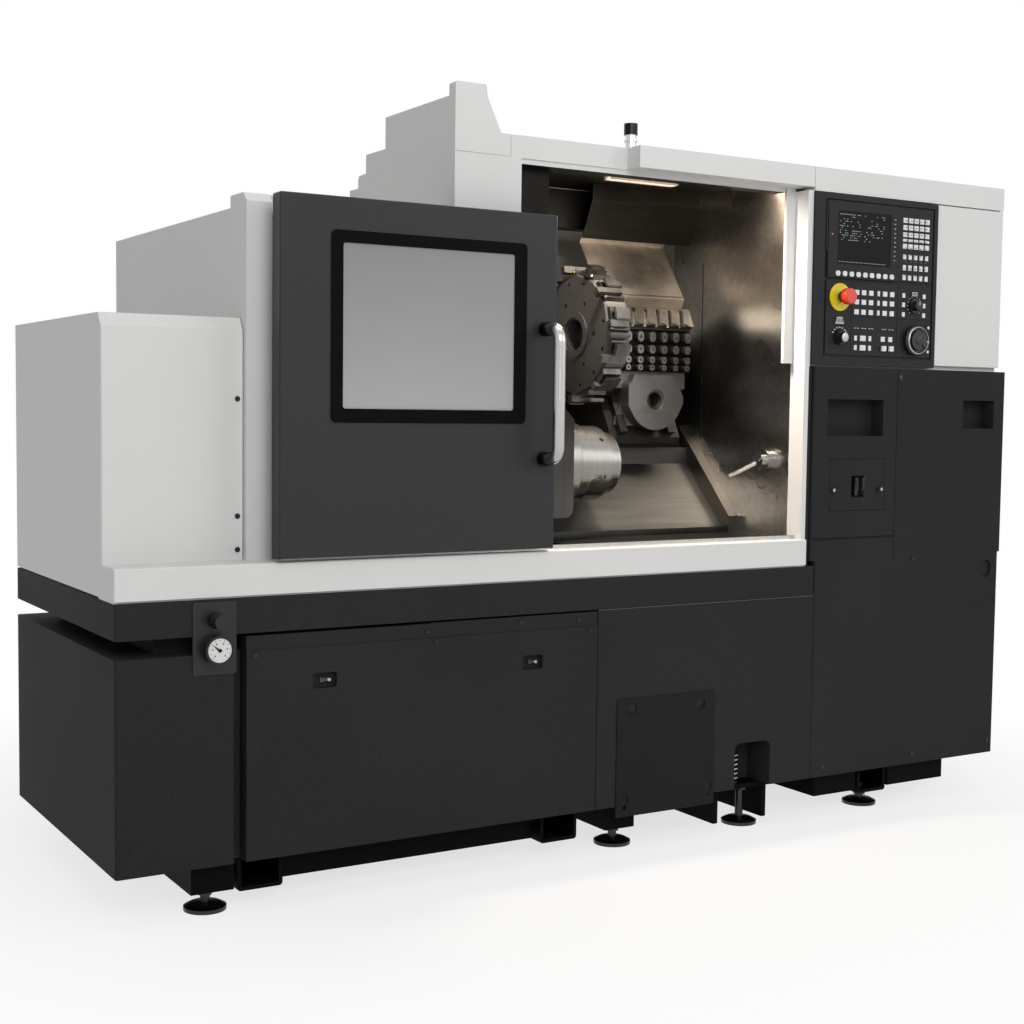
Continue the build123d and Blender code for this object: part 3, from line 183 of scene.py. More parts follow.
def brushed(name, color, rough, stretch, metal=1.0, streak=0.12, smear=0.1, paintedShade=None):
    mat, tree, shader = newMat(name)
    coord = tree.nodes.new("ShaderNodeTexCoord")
    lines = noiseNode(tree, coord, 1, 3, stretch)
    broad = noiseNode(tree, coord, 5, 5)
    lineRamp = rampNode(tree, lines.outputs["Fac"],
                        [(0.3, shade(color, 1 - streak)), (0.7, shade(color, 1 + streak))])
    smearRamp = rampNode(tree, broad.outputs["Fac"], [(0.35, (1 - smear,) * 3), (0.7, (1, 1, 1))])
    base = multiplied(tree, lineRamp.outputs["Color"], smearRamp.outputs["Color"])
    # Optional painted shade: the colour scaled from one value to another along an axis
    if paintedShade:
        axis, low, high, ends = paintedShade
        paintedShadeRamp = rampNode(tree, axisSpan(tree, axis, low, high), [(0, (ends[0],) * 3), (1, (ends[1],) * 3)])
        base = multiplied(tree, base, paintedShadeRamp.outputs["Color"])
    link(tree, base, shader.inputs["Base Color"])
    roughRamp = rampNode(tree, broad.outputs["Fac"],
                         [(0.3, (rough * 0.8,) * 3), (0.75, (min(1, rough * 1.25),) * 3)])
    link(tree, roughRamp.outputs["Color"], shader.inputs["Roughness"])
    shader.inputs["Metallic"].default_value = metal
    bumpFrom(tree, shader, lines.outputs["Fac"], 0.12, 0.0004)
    return mat


coverSet = {"color": (0.69, 0.688, 0.682), "rough": 0.42}
baseSet = {"color": (0.0235, 0.0237, 0.0250), "rough": 0.58}
doorSet = {"color": (0.0205, 0.0207, 0.0225), "rough": 0.45}
coverPaint = paint("coverPaint", coverSet["color"], coverSet["rough"], grain=700, grainBump=0.06, blotch=0.02,
                   gloss=0.25)
basePaint = paint("basePaint", baseSet["color"], baseSet["rough"], grain=1500, grainBump=0.16, blotch=0.1,
                  speckle=1.6, gloss=0.03)
doorPaint = paint("doorPaint", doorSet["color"], doorSet["rough"], metal=0.2, grain=1500, grainBump=0.14,
                  blotch=0.06, speckle=1.4, gloss=0.3)
frameBlack = paint("frameBlack", (0.0032, 0.0032, 0.0036), 0.55, grain=1200, grainBump=0.05, gloss=0.04)
castPaint = paint("castPaint", (0.085, 0.082, 0.078), 0.40, metal=0.6, grain=300, grainBump=0.12, blotch=0.35)
blackPlastic = paint("blackPlastic", (0.008, 0.008, 0.009), 0.36, grain=2000, grainBump=0.1, blotch=0.1,
                     gloss=0.4)
panelPlastic = paint("panelPlastic", (0.022, 0.0225, 0.0245), 0.48, grain=1800, grainBump=0.06, blotch=0.04,
                     gloss=0.1)
keyWhite = paint("keyWhite", (0.70, 0.70, 0.68), 0.4, grain=1200, grainBump=0.03, blotch=0.05)
labelWhite = paint("labelWhite", (0.50, 0.50, 0.49), 0.5, grain=1500, grainBump=0.02, blotch=0.1)
signalYellow = paint("signalYellow", (0.75, 0.58, 0.01), 0.4, grain=900, grainBump=0.05)
signalRed = paint("signalRed", (0.66, 0.040, 0.012), 0.28, grain=900, grainBump=0.03)
# Guard plate steel with painted shade, darkening from 0.90 m to nearly black at 1.12 m
guardSteelShaded = brushed("guardSteelShaded", (0.26, 0.245, 0.225), 0.32, (60, 60, 3), smear=0.3,
                     paintedShade=("Z", 0.90, 1.12, (0.36, 0.05)))
# Right wall steel with painted shade, darker towards the top between 0.86 m and 1.12 m
wallSteelShaded = brushed("wallSteelShaded", (0.66, 0.64, 0.605), 0.30, (3, 60, 60), smear=0.35,
                    paintedShade=("Z", 0.86, 1.12, (1.0, 0.36)))
# Chute steel with painted shade, darker on its lowest part below 0.745-0.775 m
chuteSteelShaded = brushed("chuteSteelShaded", (0.135, 0.134, 0.130), 0.45, (5, 60, 60), smear=0.16,
                     paintedShade=("Z", 0.745, 0.775, (0.35, 1.0)))
coverSteel = brushed("coverSteel", (0.62, 0.55, 0.46), 0.42, (40, 3, 40), smear=0.25)
roofSteel = brushed("roofSteel", (0.055, 0.050, 0.044), 0.36, (5, 60, 60), smear=0.3)
steel = brushed("steel", (0.56, 0.54, 0.51), 0.22, (500, 20, 20))
turned = brushed("turned", (0.30, 0.29, 0.275), 0.27, (900, 6, 6), smear=0.22)
holderSteel = brushed("holderSteel", (0.17, 0.162, 0.152), 0.40, (60, 20, 20), smear=0.55, streak=0.25)
housingSteel = brushed("housingSteel", (0.20, 0.197, 0.19), 0.42, (30, 300, 300), smear=0.3)
footMetal = brushed("footMetal", (0.075, 0.073, 0.07), 0.34, (90, 90, 90), smear=0.5)
plateDark = paint("plateDark", shade(baseSet["color"], 0.72), baseSet["rough"], grain=1500, grainBump=0.16,
                  blotch=0.1, speckle=1.2, gloss=0.03)
zinc = brushed("zinc", (0.42, 0.42, 0.41), 0.3, (90, 90, 90))
brass = brushed("brass", (0.52, 0.33, 0.11), 0.28, (90, 90, 90), smear=0.4)
darkPart = paint("darkPart", (0.022, 0.021, 0.020), 0.38, metal=0.6, grain=200, grainBump=0.1, blotch=0.5)
socketBlack = paint("socketBlack", (0.002, 0.002, 0.002), 0.5, grain=300, grainBump=0.1, gloss=0.2)


def axisTest(tree, axis, limit, mode):
    coord = tree.nodes.new("ShaderNodeTexCoord")
    split = tree.nodes.new("ShaderNodeSeparateXYZ")
    link(tree, coord.outputs["Object"], split.inputs["Vector"])
    test = tree.nodes.new("ShaderNodeMath")
    test.operation = mode
    link(tree, split.outputs[axis], test.inputs[0])
    test.inputs[1].default_value = limit
    return test.outputs["Value"]


def recolour(tree, shader, factor, color):
    mix = tree.nodes.new("ShaderNodeMixRGB")
    link(tree, factor, mix.inputs["Fac"])
    link(tree, shader.inputs["Base Color"].links[0].from_socket, mix.inputs["Color1"])
    mix.inputs["Color2"].default_value = (*color, 1)
    link(tree, mix.outputs["Color"], shader.inputs["Base Color"])


def shaderOf(mat):
    return mat.node_tree, mat.node_tree.nodes["Principled BSDF"]


# Gang block: black body behind the tool noses, with a ground clamp plate on top
gangSet = {"noseEnd": 415.5, "plateFoot": 1301.5, "body": (0.012, 0.0115, 0.011)}
gangMat = brushed("gangMat", (0.30, 0.288, 0.27), 0.3, (60, 60, 60), smear=0.4, streak=0.2)
gangTree, gangShader = shaderOf(gangMat)
gangTests = [axisTest(gangTree, "Y", at(0, gangSet["noseEnd"], 0).y, "GREATER_THAN"),
             axisTest(gangTree, "Z", at(0, 0, gangSet["plateFoot"]).z, "LESS_THAN")]
recolour(gangTree, gangShader, allOf(gangTree, gangTests), gangSet["body"])

# Chute: the rail along the right wall is darker than the plate
railSet = {"left": 1812, "color": (0.085, 0.080, 0.073)}
chuteTree, chuteShader = shaderOf(chuteSteelShaded)
railTest = axisTest(chuteTree, "X", at(railSet["left"], 0, 0).x, "GREATER_THAN")
recolour(chuteTree, chuteShader, railTest, railSet["color"])


# Covers in white paint outside, with painted shade making them near-black inside the work area
def insideShaded(name, limits):
    mat = paint(name, coverSet["color"], coverSet["rough"], grain=700, grainBump=0.06, blotch=0.02,
                gloss=0.25)
    tree, shader = shaderOf(mat)
    # Painted shade: near-black where the surface lies within the work area limits
    recolour(tree, shader, allOf(tree, [axisTest(tree, *limit) for limit in limits]), (0.010, 0.0095, 0.009))
    return mat


workSet = {"left": 803, "right": 1862, "hoodFront": 62, "rearBack": 700, "rearTop": 1697, "hoodTop": 1700,
           "spindleFace": 917}
workSides = [("X", at(workSet["left"], 0, 0).x, "GREATER_THAN"),
             ("X", at(workSet["right"], 0, 0).x, "LESS_THAN")]
rearPaint = insideShaded("rearPaint", workSides + [("Y", at(0, workSet["rearBack"], 0).y, "LESS_THAN"),
                                                 ("Z", at(0, 0, workSet["rearTop"]).z, "LESS_THAN")])
hoodPaint = insideShaded("hoodPaint", workSides + [("Y", at(0, workSet["hoodFront"], 0).y, "GREATER_THAN"),
                                                 ("Z", at(0, 0, workSet["hoodTop"]).z, "LESS_THAN")])
spindlePaint = insideShaded("spindlePaint", [("X", at(workSet["spindleFace"], 0, 0).x, "GREATER_THAN")])

# Bar handle: brushed tube in black collars
handleSet = {"collarFront": -44.4, "collar": (0.01, 0.01, 0.01)}
handleMat = brushed("handleMat", (0.50, 0.49, 0.475), 0.24, (300, 300, 8), smear=0.08)
handleTree, handleShader = shaderOf(handleMat)
collarTest = axisTest(handleTree, "Y", at(0, handleSet["collarFront"], 0).y, "GREATER_THAN")
recolour(handleTree, handleShader, collarTest, handleSet["collar"])

# Top fitting: chrome neck under a black knurled cap
fittingSet = {"capFoot": 1746.2, "cap": (0.012, 0.012, 0.012)}
fittingMat = brushed("fittingMat", (0.66, 0.66, 0.65), 0.16, (90, 90, 90), smear=0.1)
fittingTree, fittingShader = shaderOf(fittingMat)
capTest = axisTest(fittingTree, "Z", at(0, 0, fittingSet["capFoot"]).z, "GREATER_THAN")
recolour(fittingTree, fittingShader, capTest, fittingSet["cap"])

# Screen, door pane and lamp
screenMat = paint("screenMat", (0.0035, 0.0036, 0.004), 0.25, grain=400, grainBump=0.01, blotch=0.3,
                  gloss=0.06)
# Door pane: opaque grey with painted reflection and shade, lighter low down and darker towards the top
paneMat, paneTree, paneShader = newMat("paneMat")
paneCoord = paneTree.nodes.new("ShaderNodeTexCoord")
paneShadeRamp = rampNode(paneTree, axisSpan(paneTree, "Z", 1.05, 1.45),
                    [(0, (0.40, 0.405, 0.402)), (1, (0.25, 0.253, 0.251))])
paneNoise = noiseNode(paneTree, paneCoord, 2.5, 3)
paneSmear = rampNode(paneTree, paneNoise.outputs["Fac"], [(0.3, (0.94, 0.94, 0.94)), (0.7, (1, 1, 1))])
paneColor = multiplied(paneTree, paneShadeRamp.outputs["Color"], paneSmear.outputs["Color"])
link(paneTree, paneColor, paneShader.inputs["Base Color"])
paneShader.inputs["Roughness"].default_value = 0.16
paneShader.inputs["Specular IOR Level"].default_value = 0.3
lampMat, lampTree, lampShader = newMat("lampMat")
lampCoord = lampTree.nodes.new("ShaderNodeTexCoord")
lampNoise = noiseNode(lampTree, lampCoord, 40, 2)
lampRamp = rampNode(lampTree, lampNoise.outputs["Fac"],
                    [(0.3, (0.88, 0.74, 0.60)), (0.7, (0.92, 0.80, 0.66))])
link(lampTree, lampRamp.outputs["Color"], lampShader.inputs["Base Color"])
stripSet = {"front": 150, "back": 186, "lit": (1.0, 0.80, 0.62), "edge": (0.10, 0.07, 0.05)}
stripSpan = axisSpan(lampTree, "Y", at(0, stripSet["front"], 0).y, at(0, stripSet["back"], 0).y)
stripRamp = rampNode(lampTree, stripSpan, [(0.02, stripSet["edge"]), (0.30, stripSet["lit"]),
                                           (0.55, stripSet["lit"]), (0.85, stripSet["edge"])])
link(lampTree, stripRamp.outputs["Color"], lampShader.inputs["Emission Color"])
lampShader.inputs["Emission Strength"].default_value = 0.95

assign = {
    coverPaint: ["sill", "left_cover", "roof_box", "control_cabinet"],
    hoodPaint: ["hood"],
    rearPaint: ["rear_cover"],
    spindlePaint: ["spindle_cover"],
    basePaint: ["base_left_cabinet", "base_front_panel", "base_mid_panel", "base_right_cabinet",
                "plinth", "utility_cabinet", "hatch_door"],
    frameBlack: ["base_frame", "fork_pockets", "coolant_tank", "window_frame"],
    doorPaint: ["door_leaf"],
    castPaint: ["turret_disc"],
    housingSteel: ["cross_slide"],
    gangMat: ["gang_block"],
    darkPart: ["headstock", "bed", "saddle", "panel_screws"],
    wallSteelShaded: ["right_wall_liner"],
    chuteSteelShaded: ["chute"],
    guardSteelShaded: ["guard_plate"],
    coverSteel: ["way_cover"],
    roofSteel: ["roof_liner"],
    steel: ["door_rail", "spindle_bearings", "spindle_shaft", "z_rails", "wall_nozzle"],
    handleMat: ["door_handle"],
    holderSteel: ["tool_holders"],
    turned: ["chuck"],
    footMetal: ["levelling_feet"],
    plateDark: ["cover_plate"],
    fittingMat: ["top_fitting"],
    blackPlastic: ["hatch_latch", "estop_stem", "mode_knob", "override_knob", "handwheel", "regulator_knob",
                   "gauge_plate", "pressure_gauge", "gauge_needle"],
    panelPlastic: ["control_housing"],
    keyWhite: ["keypad", "cycle_start", "feed_hold"],
    signalYellow: ["estop_plate"],
    signalRed: ["estop_cap"],
    screenMat: ["screen"],
    paneMat: ["door_glass"],
    lampMat: ["lamp"],
}
for mat, names in assign.items():
    for name in names:
        data = nodes[name].data
        data.materials.clear()
        data.materials.append(mat)
print("materials set")


# Mesh makers: corners in millimetres, from the left end, the front plane and the floor
def placed(name, mesh, body):
    obj = bpy.data.objects.new(name, mesh)
    bpy.context.collection.objects.link(obj)
    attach(obj, body)
    return obj


# Flat plate: corners run counter-clockwise as seen from outside, and depth grows behind them
def plateMesh(name, corners, depth, edge, mat, body):
    made = bmesh.new()
    points = [at(*c) for c in corners]
    normal = (points[1] - points[0]).cross(points[2] - points[0]).normalized()
    face = made.faces.new([made.verts.new(p) for p in points])
    grown = bmesh.ops.extrude_face_region(made, geom=[face])
    moved = [v for v in grown["geom"] if isinstance(v, bmesh.types.BMVert)]
    bmesh.ops.translate(made, verts=moved, vec=-normal * depth / 1000)
    bmesh.ops.recalc_face_normals(made, faces=made.faces)
    if edge:
        bmesh.ops.bevel(made, geom=list(made.edges), offset=edge / 1000, segments=2, affect="EDGES")
    mesh = bpy.data.meshes.new(name)
    made.to_mesh(mesh)
    made.free()
    mesh.materials.append(mat)
    return placed(name, mesh, body)


# Turned piece: the profile is (along, radius), and a ring's profile repeats its first point
def turnedMesh(name, origin, axis, profile, mat, body, sides=48):
    axis = Vector(axis).normalized()
    start = at(*origin)
    across = axis.orthogonal().normalized()
    other = axis.cross(across)
    verts, faces = [], []
    for index in range(sides):
        angle = 2 * math.pi * index / sides
        outward = across * math.cos(angle) + other * math.sin(angle)
        for along, radius in profile:
            verts.append(start + axis * along / 1000 + outward * radius / 1000)
    count = len(profile)
    for index in range(sides):
        nextIndex = (index + 1) % sides
        for step in range(count - 1):
            faces.append((index * count + step, nextIndex * count + step, nextIndex * count + step + 1,
                          index * count + step + 1))
    mesh = bpy.data.meshes.new(name)
    mesh.from_pydata(verts, [], faces)
    made = bmesh.new()
    made.from_mesh(mesh)
    bmesh.ops.remove_doubles(made, verts=made.verts, dist=0.00001)
    bmesh.ops.holes_fill(made, edges=made.edges)
    bmesh.ops.recalc_face_normals(made, faces=made.faces)
    made.to_mesh(mesh)
    made.free()
    mesh.materials.append(mat)
    for face in mesh.polygons:
        face.use_smooth = len(face.vertices) == 4
    mesh.set_sharp_from_angle(angle=math.radians(40))
    return placed(name, mesh, body)


def tubeMesh(name, points, radius, mat, body):
    curve = bpy.data.curves.new(name + "Path", "CURVE")
    curve.dimensions = "3D"
    spline = curve.splines.new("NURBS")
    spline.points.add(len(points) - 1)
    for point, place in zip(spline.points, points):
        point.co = (*at(*place), 1)
    spline.order_u = min(3, len(points))
    spline.use_endpoint_u = True
    curve.bevel_depth = radius / 1000
    curve.bevel_resolution = 4
    curve.use_fill_caps = True
    holder = bpy.data.objects.new(name + "Path", curve)
    bpy.context.collection.objects.link(holder)
    mesh = bpy.data.meshes.new_from_object(holder)
    bpy.data.objects.remove(holder)
    mesh.materials.clear()
    mesh.materials.append(mat)
    for face in mesh.polygons:
        face.use_smooth = True
    return placed(name, mesh, body)


# Geometry Nodes field: one small solid on every point, turned to a direction
def fieldTree(name, kind):
    tree = bpy.data.node_groups.new(name, "GeometryNodeTree")
    sockets = (("Points", "Geometry"), ("Direction", "Vector"), ("Width", "Float"), ("Length", "Float"),
               ("Height", "Float"), ("Sides", "Int"), ("Finish", "Material"))
    for label, socketKind in sockets:
        tree.interface.new_socket(label, in_out="INPUT", socket_type="NodeSocket" + socketKind)
    tree.interface.new_socket("Solids", in_out="OUTPUT", socket_type="NodeSocketGeometry")
    inside = tree.nodes.new("NodeGroupInput")
    outside = tree.nodes.new("NodeGroupOutput")
    turn = tree.nodes.new("FunctionNodeAlignRotationToVector")
    turn.axis = "Z"
    tree.links.new(inside.outputs["Direction"], turn.inputs["Vector"])
    if kind == "round":
        solid = tree.nodes.new("GeometryNodeMeshCylinder")
        tree.links.new(inside.outputs["Sides"], solid.inputs["Vertices"])
        tree.links.new(inside.outputs["Width"], solid.inputs["Radius"])
        tree.links.new(inside.outputs["Height"], solid.inputs["Depth"])
    else:
        solid = tree.nodes.new("GeometryNodeMeshCube")
        size = tree.nodes.new("ShaderNodeCombineXYZ")
        tree.links.new(inside.outputs["Width"], size.inputs["X"])
        tree.links.new(inside.outputs["Length"], size.inputs["Y"])
        tree.links.new(inside.outputs["Height"], size.inputs["Z"])
        tree.links.new(size.outputs["Vector"], solid.inputs["Size"])
    spread = tree.nodes.new("GeometryNodeInstanceOnPoints")
    tree.links.new(inside.outputs["Points"], spread.inputs["Points"])
    tree.links.new(solid.outputs["Mesh"], spread.inputs["Instance"])
    tree.links.new(turn.outputs["Rotation"], spread.inputs["Rotation"])
    real = tree.nodes.new("GeometryNodeRealizeInstances")
    tree.links.new(spread.outputs["Instances"], real.inputs["Geometry"])
    dress = tree.nodes.new("GeometryNodeSetMaterial")
    tree.links.new(real.outputs["Geometry"], dress.inputs["Geometry"])
    tree.links.new(inside.outputs["Finish"], dress.inputs["Material"])
    tree.links.new(dress.outputs["Geometry"], outside.inputs["Solids"])
    return tree


roundTree = fieldTree("roundField", "round")
blockTree = fieldTree("blockField", "block")


def field(name, points, direction, width, height, mat, body, sides=16, length=None):
    tree = blockTree if length else roundTree
    seeds = bpy.data.meshes.new(name + "Seeds")
    seeds.from_pydata([at(*p) for p in points], [], [])
    holder = bpy.data.objects.new(name + "Seeds", seeds)
    bpy.context.collection.objects.link(holder)
    modifier = holder.modifiers.new("field", "NODES")
    modifier.node_group = tree
    sizes = {"Direction": direction, "Width": width / 1000, "Length": (length or 1) / 1000,
             "Height": height / 1000, "Sides": sides, "Finish": mat}
    for item in tree.interface.items_tree:
        if item.item_type == "SOCKET" and item.in_out == "INPUT" and item.name in sizes:
            modifier[item.identifier] = sizes[item.name]
    graph = bpy.context.evaluated_depsgraph_get()
    mesh = bpy.data.meshes.new_from_object(holder.evaluated_get(graph))
    holder.modifiers.remove(modifier)
    bpy.data.objects.remove(holder)
    mesh.name = name
    if not mesh.materials:
        mesh.materials.append(mat)
    return placed(name, mesh, body)


front = (0, -1, 0)


# Upright plate that faces the front
def frontPlate(name, xs, zs, y, depth, edge, mat, body):
    corners = [(xs[0], y, zs[0]), (xs[1], y, zs[0]), (xs[1], y, zs[1]), (xs[0], y, zs[1])]
    return plateMesh(name, corners, depth, edge, mat, body)


# Places round a centre, as (x, z) at a radius and at angles clockwise from the top
def around(x, z, radius, angles):
    return [(x + radius * math.sin(math.radians(a)), z + radius * math.cos(math.radians(a))) for a in angles]


# Control panel: marks beside the soft keys, labels, lamps and faint screen lines
panel = {"left": 1831.0, "mark": -3.1, "screen": -2.2, "keyTop": -5.2, "label": -3.2, "bar": -3.6,
         "lamp": -3.6, "rows": 12, "columns": 26}
px = panel["left"]
# Grey for printed marks, also used for the painted highlight line on the base seam
greyMarkAndHighlight = paint("greyMarkAndHighlight", (0.10, 0.105, 0.10), 0.5, grain=900, grainBump=0.02, blotch=0.2)


# Share of screen cells that are filled: a title line, a sparse block, then a list
def lineShare(row, column):
    if row == 0 and column < 9:
        return 0.85
    if row < 7:
        return 0.16
    return 0.5 if column < 20 else 0.2


def panelMarks(name, places, y, width, height, mat, length):
    return field(name, [(x, y, z) for x, z in places], front, width, height, mat, "machine", length=length)


lineSeeds = [(px + 86 + 6.2 * column, 1597 - 6 * row) for row in range(panel["rows"])
             for column in range(panel["columns"]) if random.random() < lineShare(row, column)]
panelMarks("screenLines", lineSeeds, panel["screen"], 3.6, 0.4, labelWhite, 1.5)
panelMarks("screenDots", [(px + 84 + 9 * k, 1474) for k in range(19)], panel["screen"], 5, 0.4, labelWhite,
           1.2)
panelMarks("columnMarks", [(px + 281, 1595 - 12 * k) for k in range(10)], panel["mark"], 4.5, 0.5, labelWhite,
           2.4)
legendPlaces = [(px + 321 + 18.4 * column, 1596 - 18.2 * row) for column in range(5) for row in range(9)]
panelMarks("keyLegends", legendPlaces, panel["keyTop"], 6, 0.5, greyMarkAndHighlight, 2)
panelMarks("upperLabels", [(px + x, 1303) for x in (146, 156, 172, 182, 197, 207, 244, 254, 270, 281)],
           panel["mark"], 6, 0.5, labelWhite, 2)
overrideSet = {"x": px + 360, "z": 1370, "face": -21.6, "ticks": 26,
               "sweep": [-135 + 22.5 * k for k in range(13)]}
modeSet = {"x": px + 91, "z": 1276, "face": -25.6, "marks": 27, "sweep": [-60 + 20 * k for k in range(7)]}
tickPlaces = around(overrideSet["x"], overrideSet["z"], overrideSet["ticks"], overrideSet["sweep"])
panelMarks("knobTicks", tickPlaces, panel["mark"], 2.4, 0.5, labelWhite, 2.4)
modePlaces = around(modeSet["x"], modeSet["z"], modeSet["marks"], modeSet["sweep"])
panelMarks("modeMarks", modePlaces, panel["mark"], 5, 0.5, labelWhite, 3)
field("smallLamps", [(px + 414, panel["lamp"], z) for z in (1313, 1275, 1248)], front, 4, 1.6, keyWhite,
      "machine", sides=20)

wheelSet = {"x": px + 362, "z": 1277, "ring": -21.7, "face": -21.6, "grip": (20, -14)}
turnedMesh("wheelRing", (wheelSet["x"], wheelSet["ring"], wheelSet["z"]), (0, 1, 0),
           [(0, 34.6), (-0.5, 35.6), (0.6, 37), (2.2, 37.8), (2.2, 34.6), (0, 34.6)], zinc, "wheel", sides=64)
turnedMesh("wheelCap", (wheelSet["x"], wheelSet["face"], wheelSet["z"]), front,
           [(0, 12), (1.6, 11), (2.2, 8), (2.2, 0.1)], blackPlastic, "wheel", sides=40)
gripPlace = (wheelSet["x"] + wheelSet["grip"][0], wheelSet["face"], wheelSet["z"] + wheelSet["grip"][1])
turnedMesh("wheelGrip", gripPlace, front, [(0, 7), (2.4, 6.4), (3, 4.6), (3, 0.1)], blackPlastic, "wheel",
           sides=28)

turnedMesh("overrideFace", (overrideSet["x"], overrideSet["face"], overrideSet["z"]), front,
           [(0, 13.5), (1.0, 12.8), (1.3, 10.5), (1.3, 0.1)], darkPart, "override_dial", sides=40)
frontPlate("overridePointer", (px + 358.6, px + 361.4), (1371, 1381), -23.2, 0.6, 0.1, labelWhite,
           "override_dial")
frontPlate("overrideLabel", (px + 350, px + 370), (1397, 1407), panel["label"], 0.5, 0.1, labelWhite,
           "machine")
panelMarks("overrideBars", [(px + 353 + 3.5 * k, 1402) for k in range(5)], panel["bar"], 1.2, 0.4,
           socketBlack, 7)

modeLabelLine = [(76, 1312), (106, 1312), (101, 1330), (81, 1330)]
plateMesh("modeLabel", [(px + x, panel["label"], z) for x, z in modeLabelLine], 0.5, 0.1, labelWhite,
          "machine")
panelMarks("modeBars", [(px + 81 + 5 * k, 1321) for k in range(5)], panel["bar"], 1.6, 0.4, socketBlack, 11)
turnedMesh("modeFace", (modeSet["x"], modeSet["face"], modeSet["z"]), front,
           [(-2, 12), (0.4, 11.4), (0.8, 9), (0.8, 0.1)], zinc, "mode_dial", sides=12)
modePointerLine = [(88.4, 1278), (93.6, 1278), (92, 1293), (90, 1293)]
plateMesh("modePointer", [(px + x, -26.6, z) for x, z in modePointerLine], 1.6, 0.3, labelWhite, "mode_dial")

frontPlate("cardMark", (px + 54, px + 62), (1540, 1550), -2.6, 0.8, 0.2, keyWhite, "machine")
frontPlate("cardStripe", (px + 55, px + 61), (1541, 1545), -3.5, 0.5, 0.1, signalRed, "machine")
print("control panel dressed")

# Pressure gauge: white dial, ticks, figure marks and hub
gauge = {"x": 212.0, "z": 573.0, "dial": 25.5, "back": -27.3, "mark": -27.8, "hub": -28.8, "ticks": 21.5,
         "figures": 15.5, "sweep": [-135 + 27 * k for k in range(11)]}
turnedMesh("gaugeDial", (gauge["x"], gauge["back"], gauge["z"]), front,
           [(0, gauge["dial"]), (0.4, gauge["dial"] - 0.2), (0.4, 0.1)], keyWhite, "machine", sides=56)
gaugeTicks = around(gauge["x"], gauge["z"], gauge["ticks"], gauge["sweep"])
panelMarks("gaugeTicks", gaugeTicks, gauge["mark"], 1.8, 0.3, socketBlack, 1.6)
gaugeFigures = around(gauge["x"], gauge["z"], gauge["figures"], gauge["sweep"][::2])
panelMarks("gaugeFigures", gaugeFigures, gauge["mark"], 2.8, 0.3, greyMarkAndHighlight, 3.4)
turnedMesh("gaugeHub", (gauge["x"], gauge["hub"], gauge["z"]), front,
           [(0, 3.4), (0.8, 3.2), (1.1, 2.4), (1.1, 0.1)], socketBlack, "needle", sides=24)

# Grips: latch pin and tongue in each slot
gripSet = {"places": (460.5, 990.0), "z": 486, "pinBack": 13.8, "tongue": 9,
           "tongueLine": [(-8, -5), (15, -2), (15, 3), (-8, 6)]}
for index, x in enumerate(gripSet["places"]):
    turnedMesh("latchPin%d" % index, (x + 14, gripSet["pinBack"], gripSet["z"]), front,
               [(0, 4.5), (5, 4.5), (6, 3.4), (6, 0.1)], zinc, "machine", sides=28)
    corners = [(x + u, gripSet["tongue"], gripSet["z"] + v) for u, v in gripSet["tongueLine"]]
    plateMesh("latchTongue%d" % index, corners, 2.5, 0.6, footMetal, "machine")

# Hatch: a dark V-shaped surround beside the latch, two studs and the cabinet lock
hatchSet = {"middle": 2003.5, "face": -9.6}
surroundLine = [(17, 908), (8, 908), (6, 874), (9, 872)]
for name, sign in (("latchSideLeft", -1), ("latchSideRight", 1)):
    edges = [(hatchSet["middle"] + sign * u, hatchSet["face"], z) for u, z in surroundLine]
    plateMesh(name, edges if sign < 0 else edges[::-1], 1.4, 0.4, blackPlastic, "hatch")
field("hatchStuds", [(1912, -9.4, 876), (2082, -9.4, 876)], front, 4.5, 1.2, zinc, "hatch", sides=24)
turnedMesh("cabinetLock", (2150, -0.2, 1176), front, [(0, 8), (1.6, 7.4), (2.2, 5.5), (2.2, 0.1)],
           blackPlastic, "machine", sides=28)
print("gauge and grips dressed")

# Turret: a clamp block, its bolts and a jet on every station
slideSet = {"y": 330, "z": 940, "slant": math.radians(63), "along": 372.8, "out": 21.6}
slantCos, slantSin = math.cos(slideSet["slant"]), math.sin(slideSet["slant"])
turretSet = {"centre": (slideSet["y"] + slideSet["along"] * slantCos - slideSet["out"] * slantSin,
                        slideSet["z"] + slideSet["along"] * slantSin + slideSet["out"] * slantCos),
             "seat": 172.3, "thick": 9, "first": 167.0, "count": 12, "left": 1418.0, "right": 1466.0,
             "blockLow": -26, "blockHigh": 8, "bolts": (1431.0, 1453.0), "boltAlong": -9,
             "jet": (1416, 168, 26)}


def onTurret(x, out, along, angle):
    c, s = math.cos(math.radians(angle)), math.sin(math.radians(angle))
    return (x, turretSet["centre"][0] + out * c - along * s, turretSet["centre"][1] + out * s + along * c)


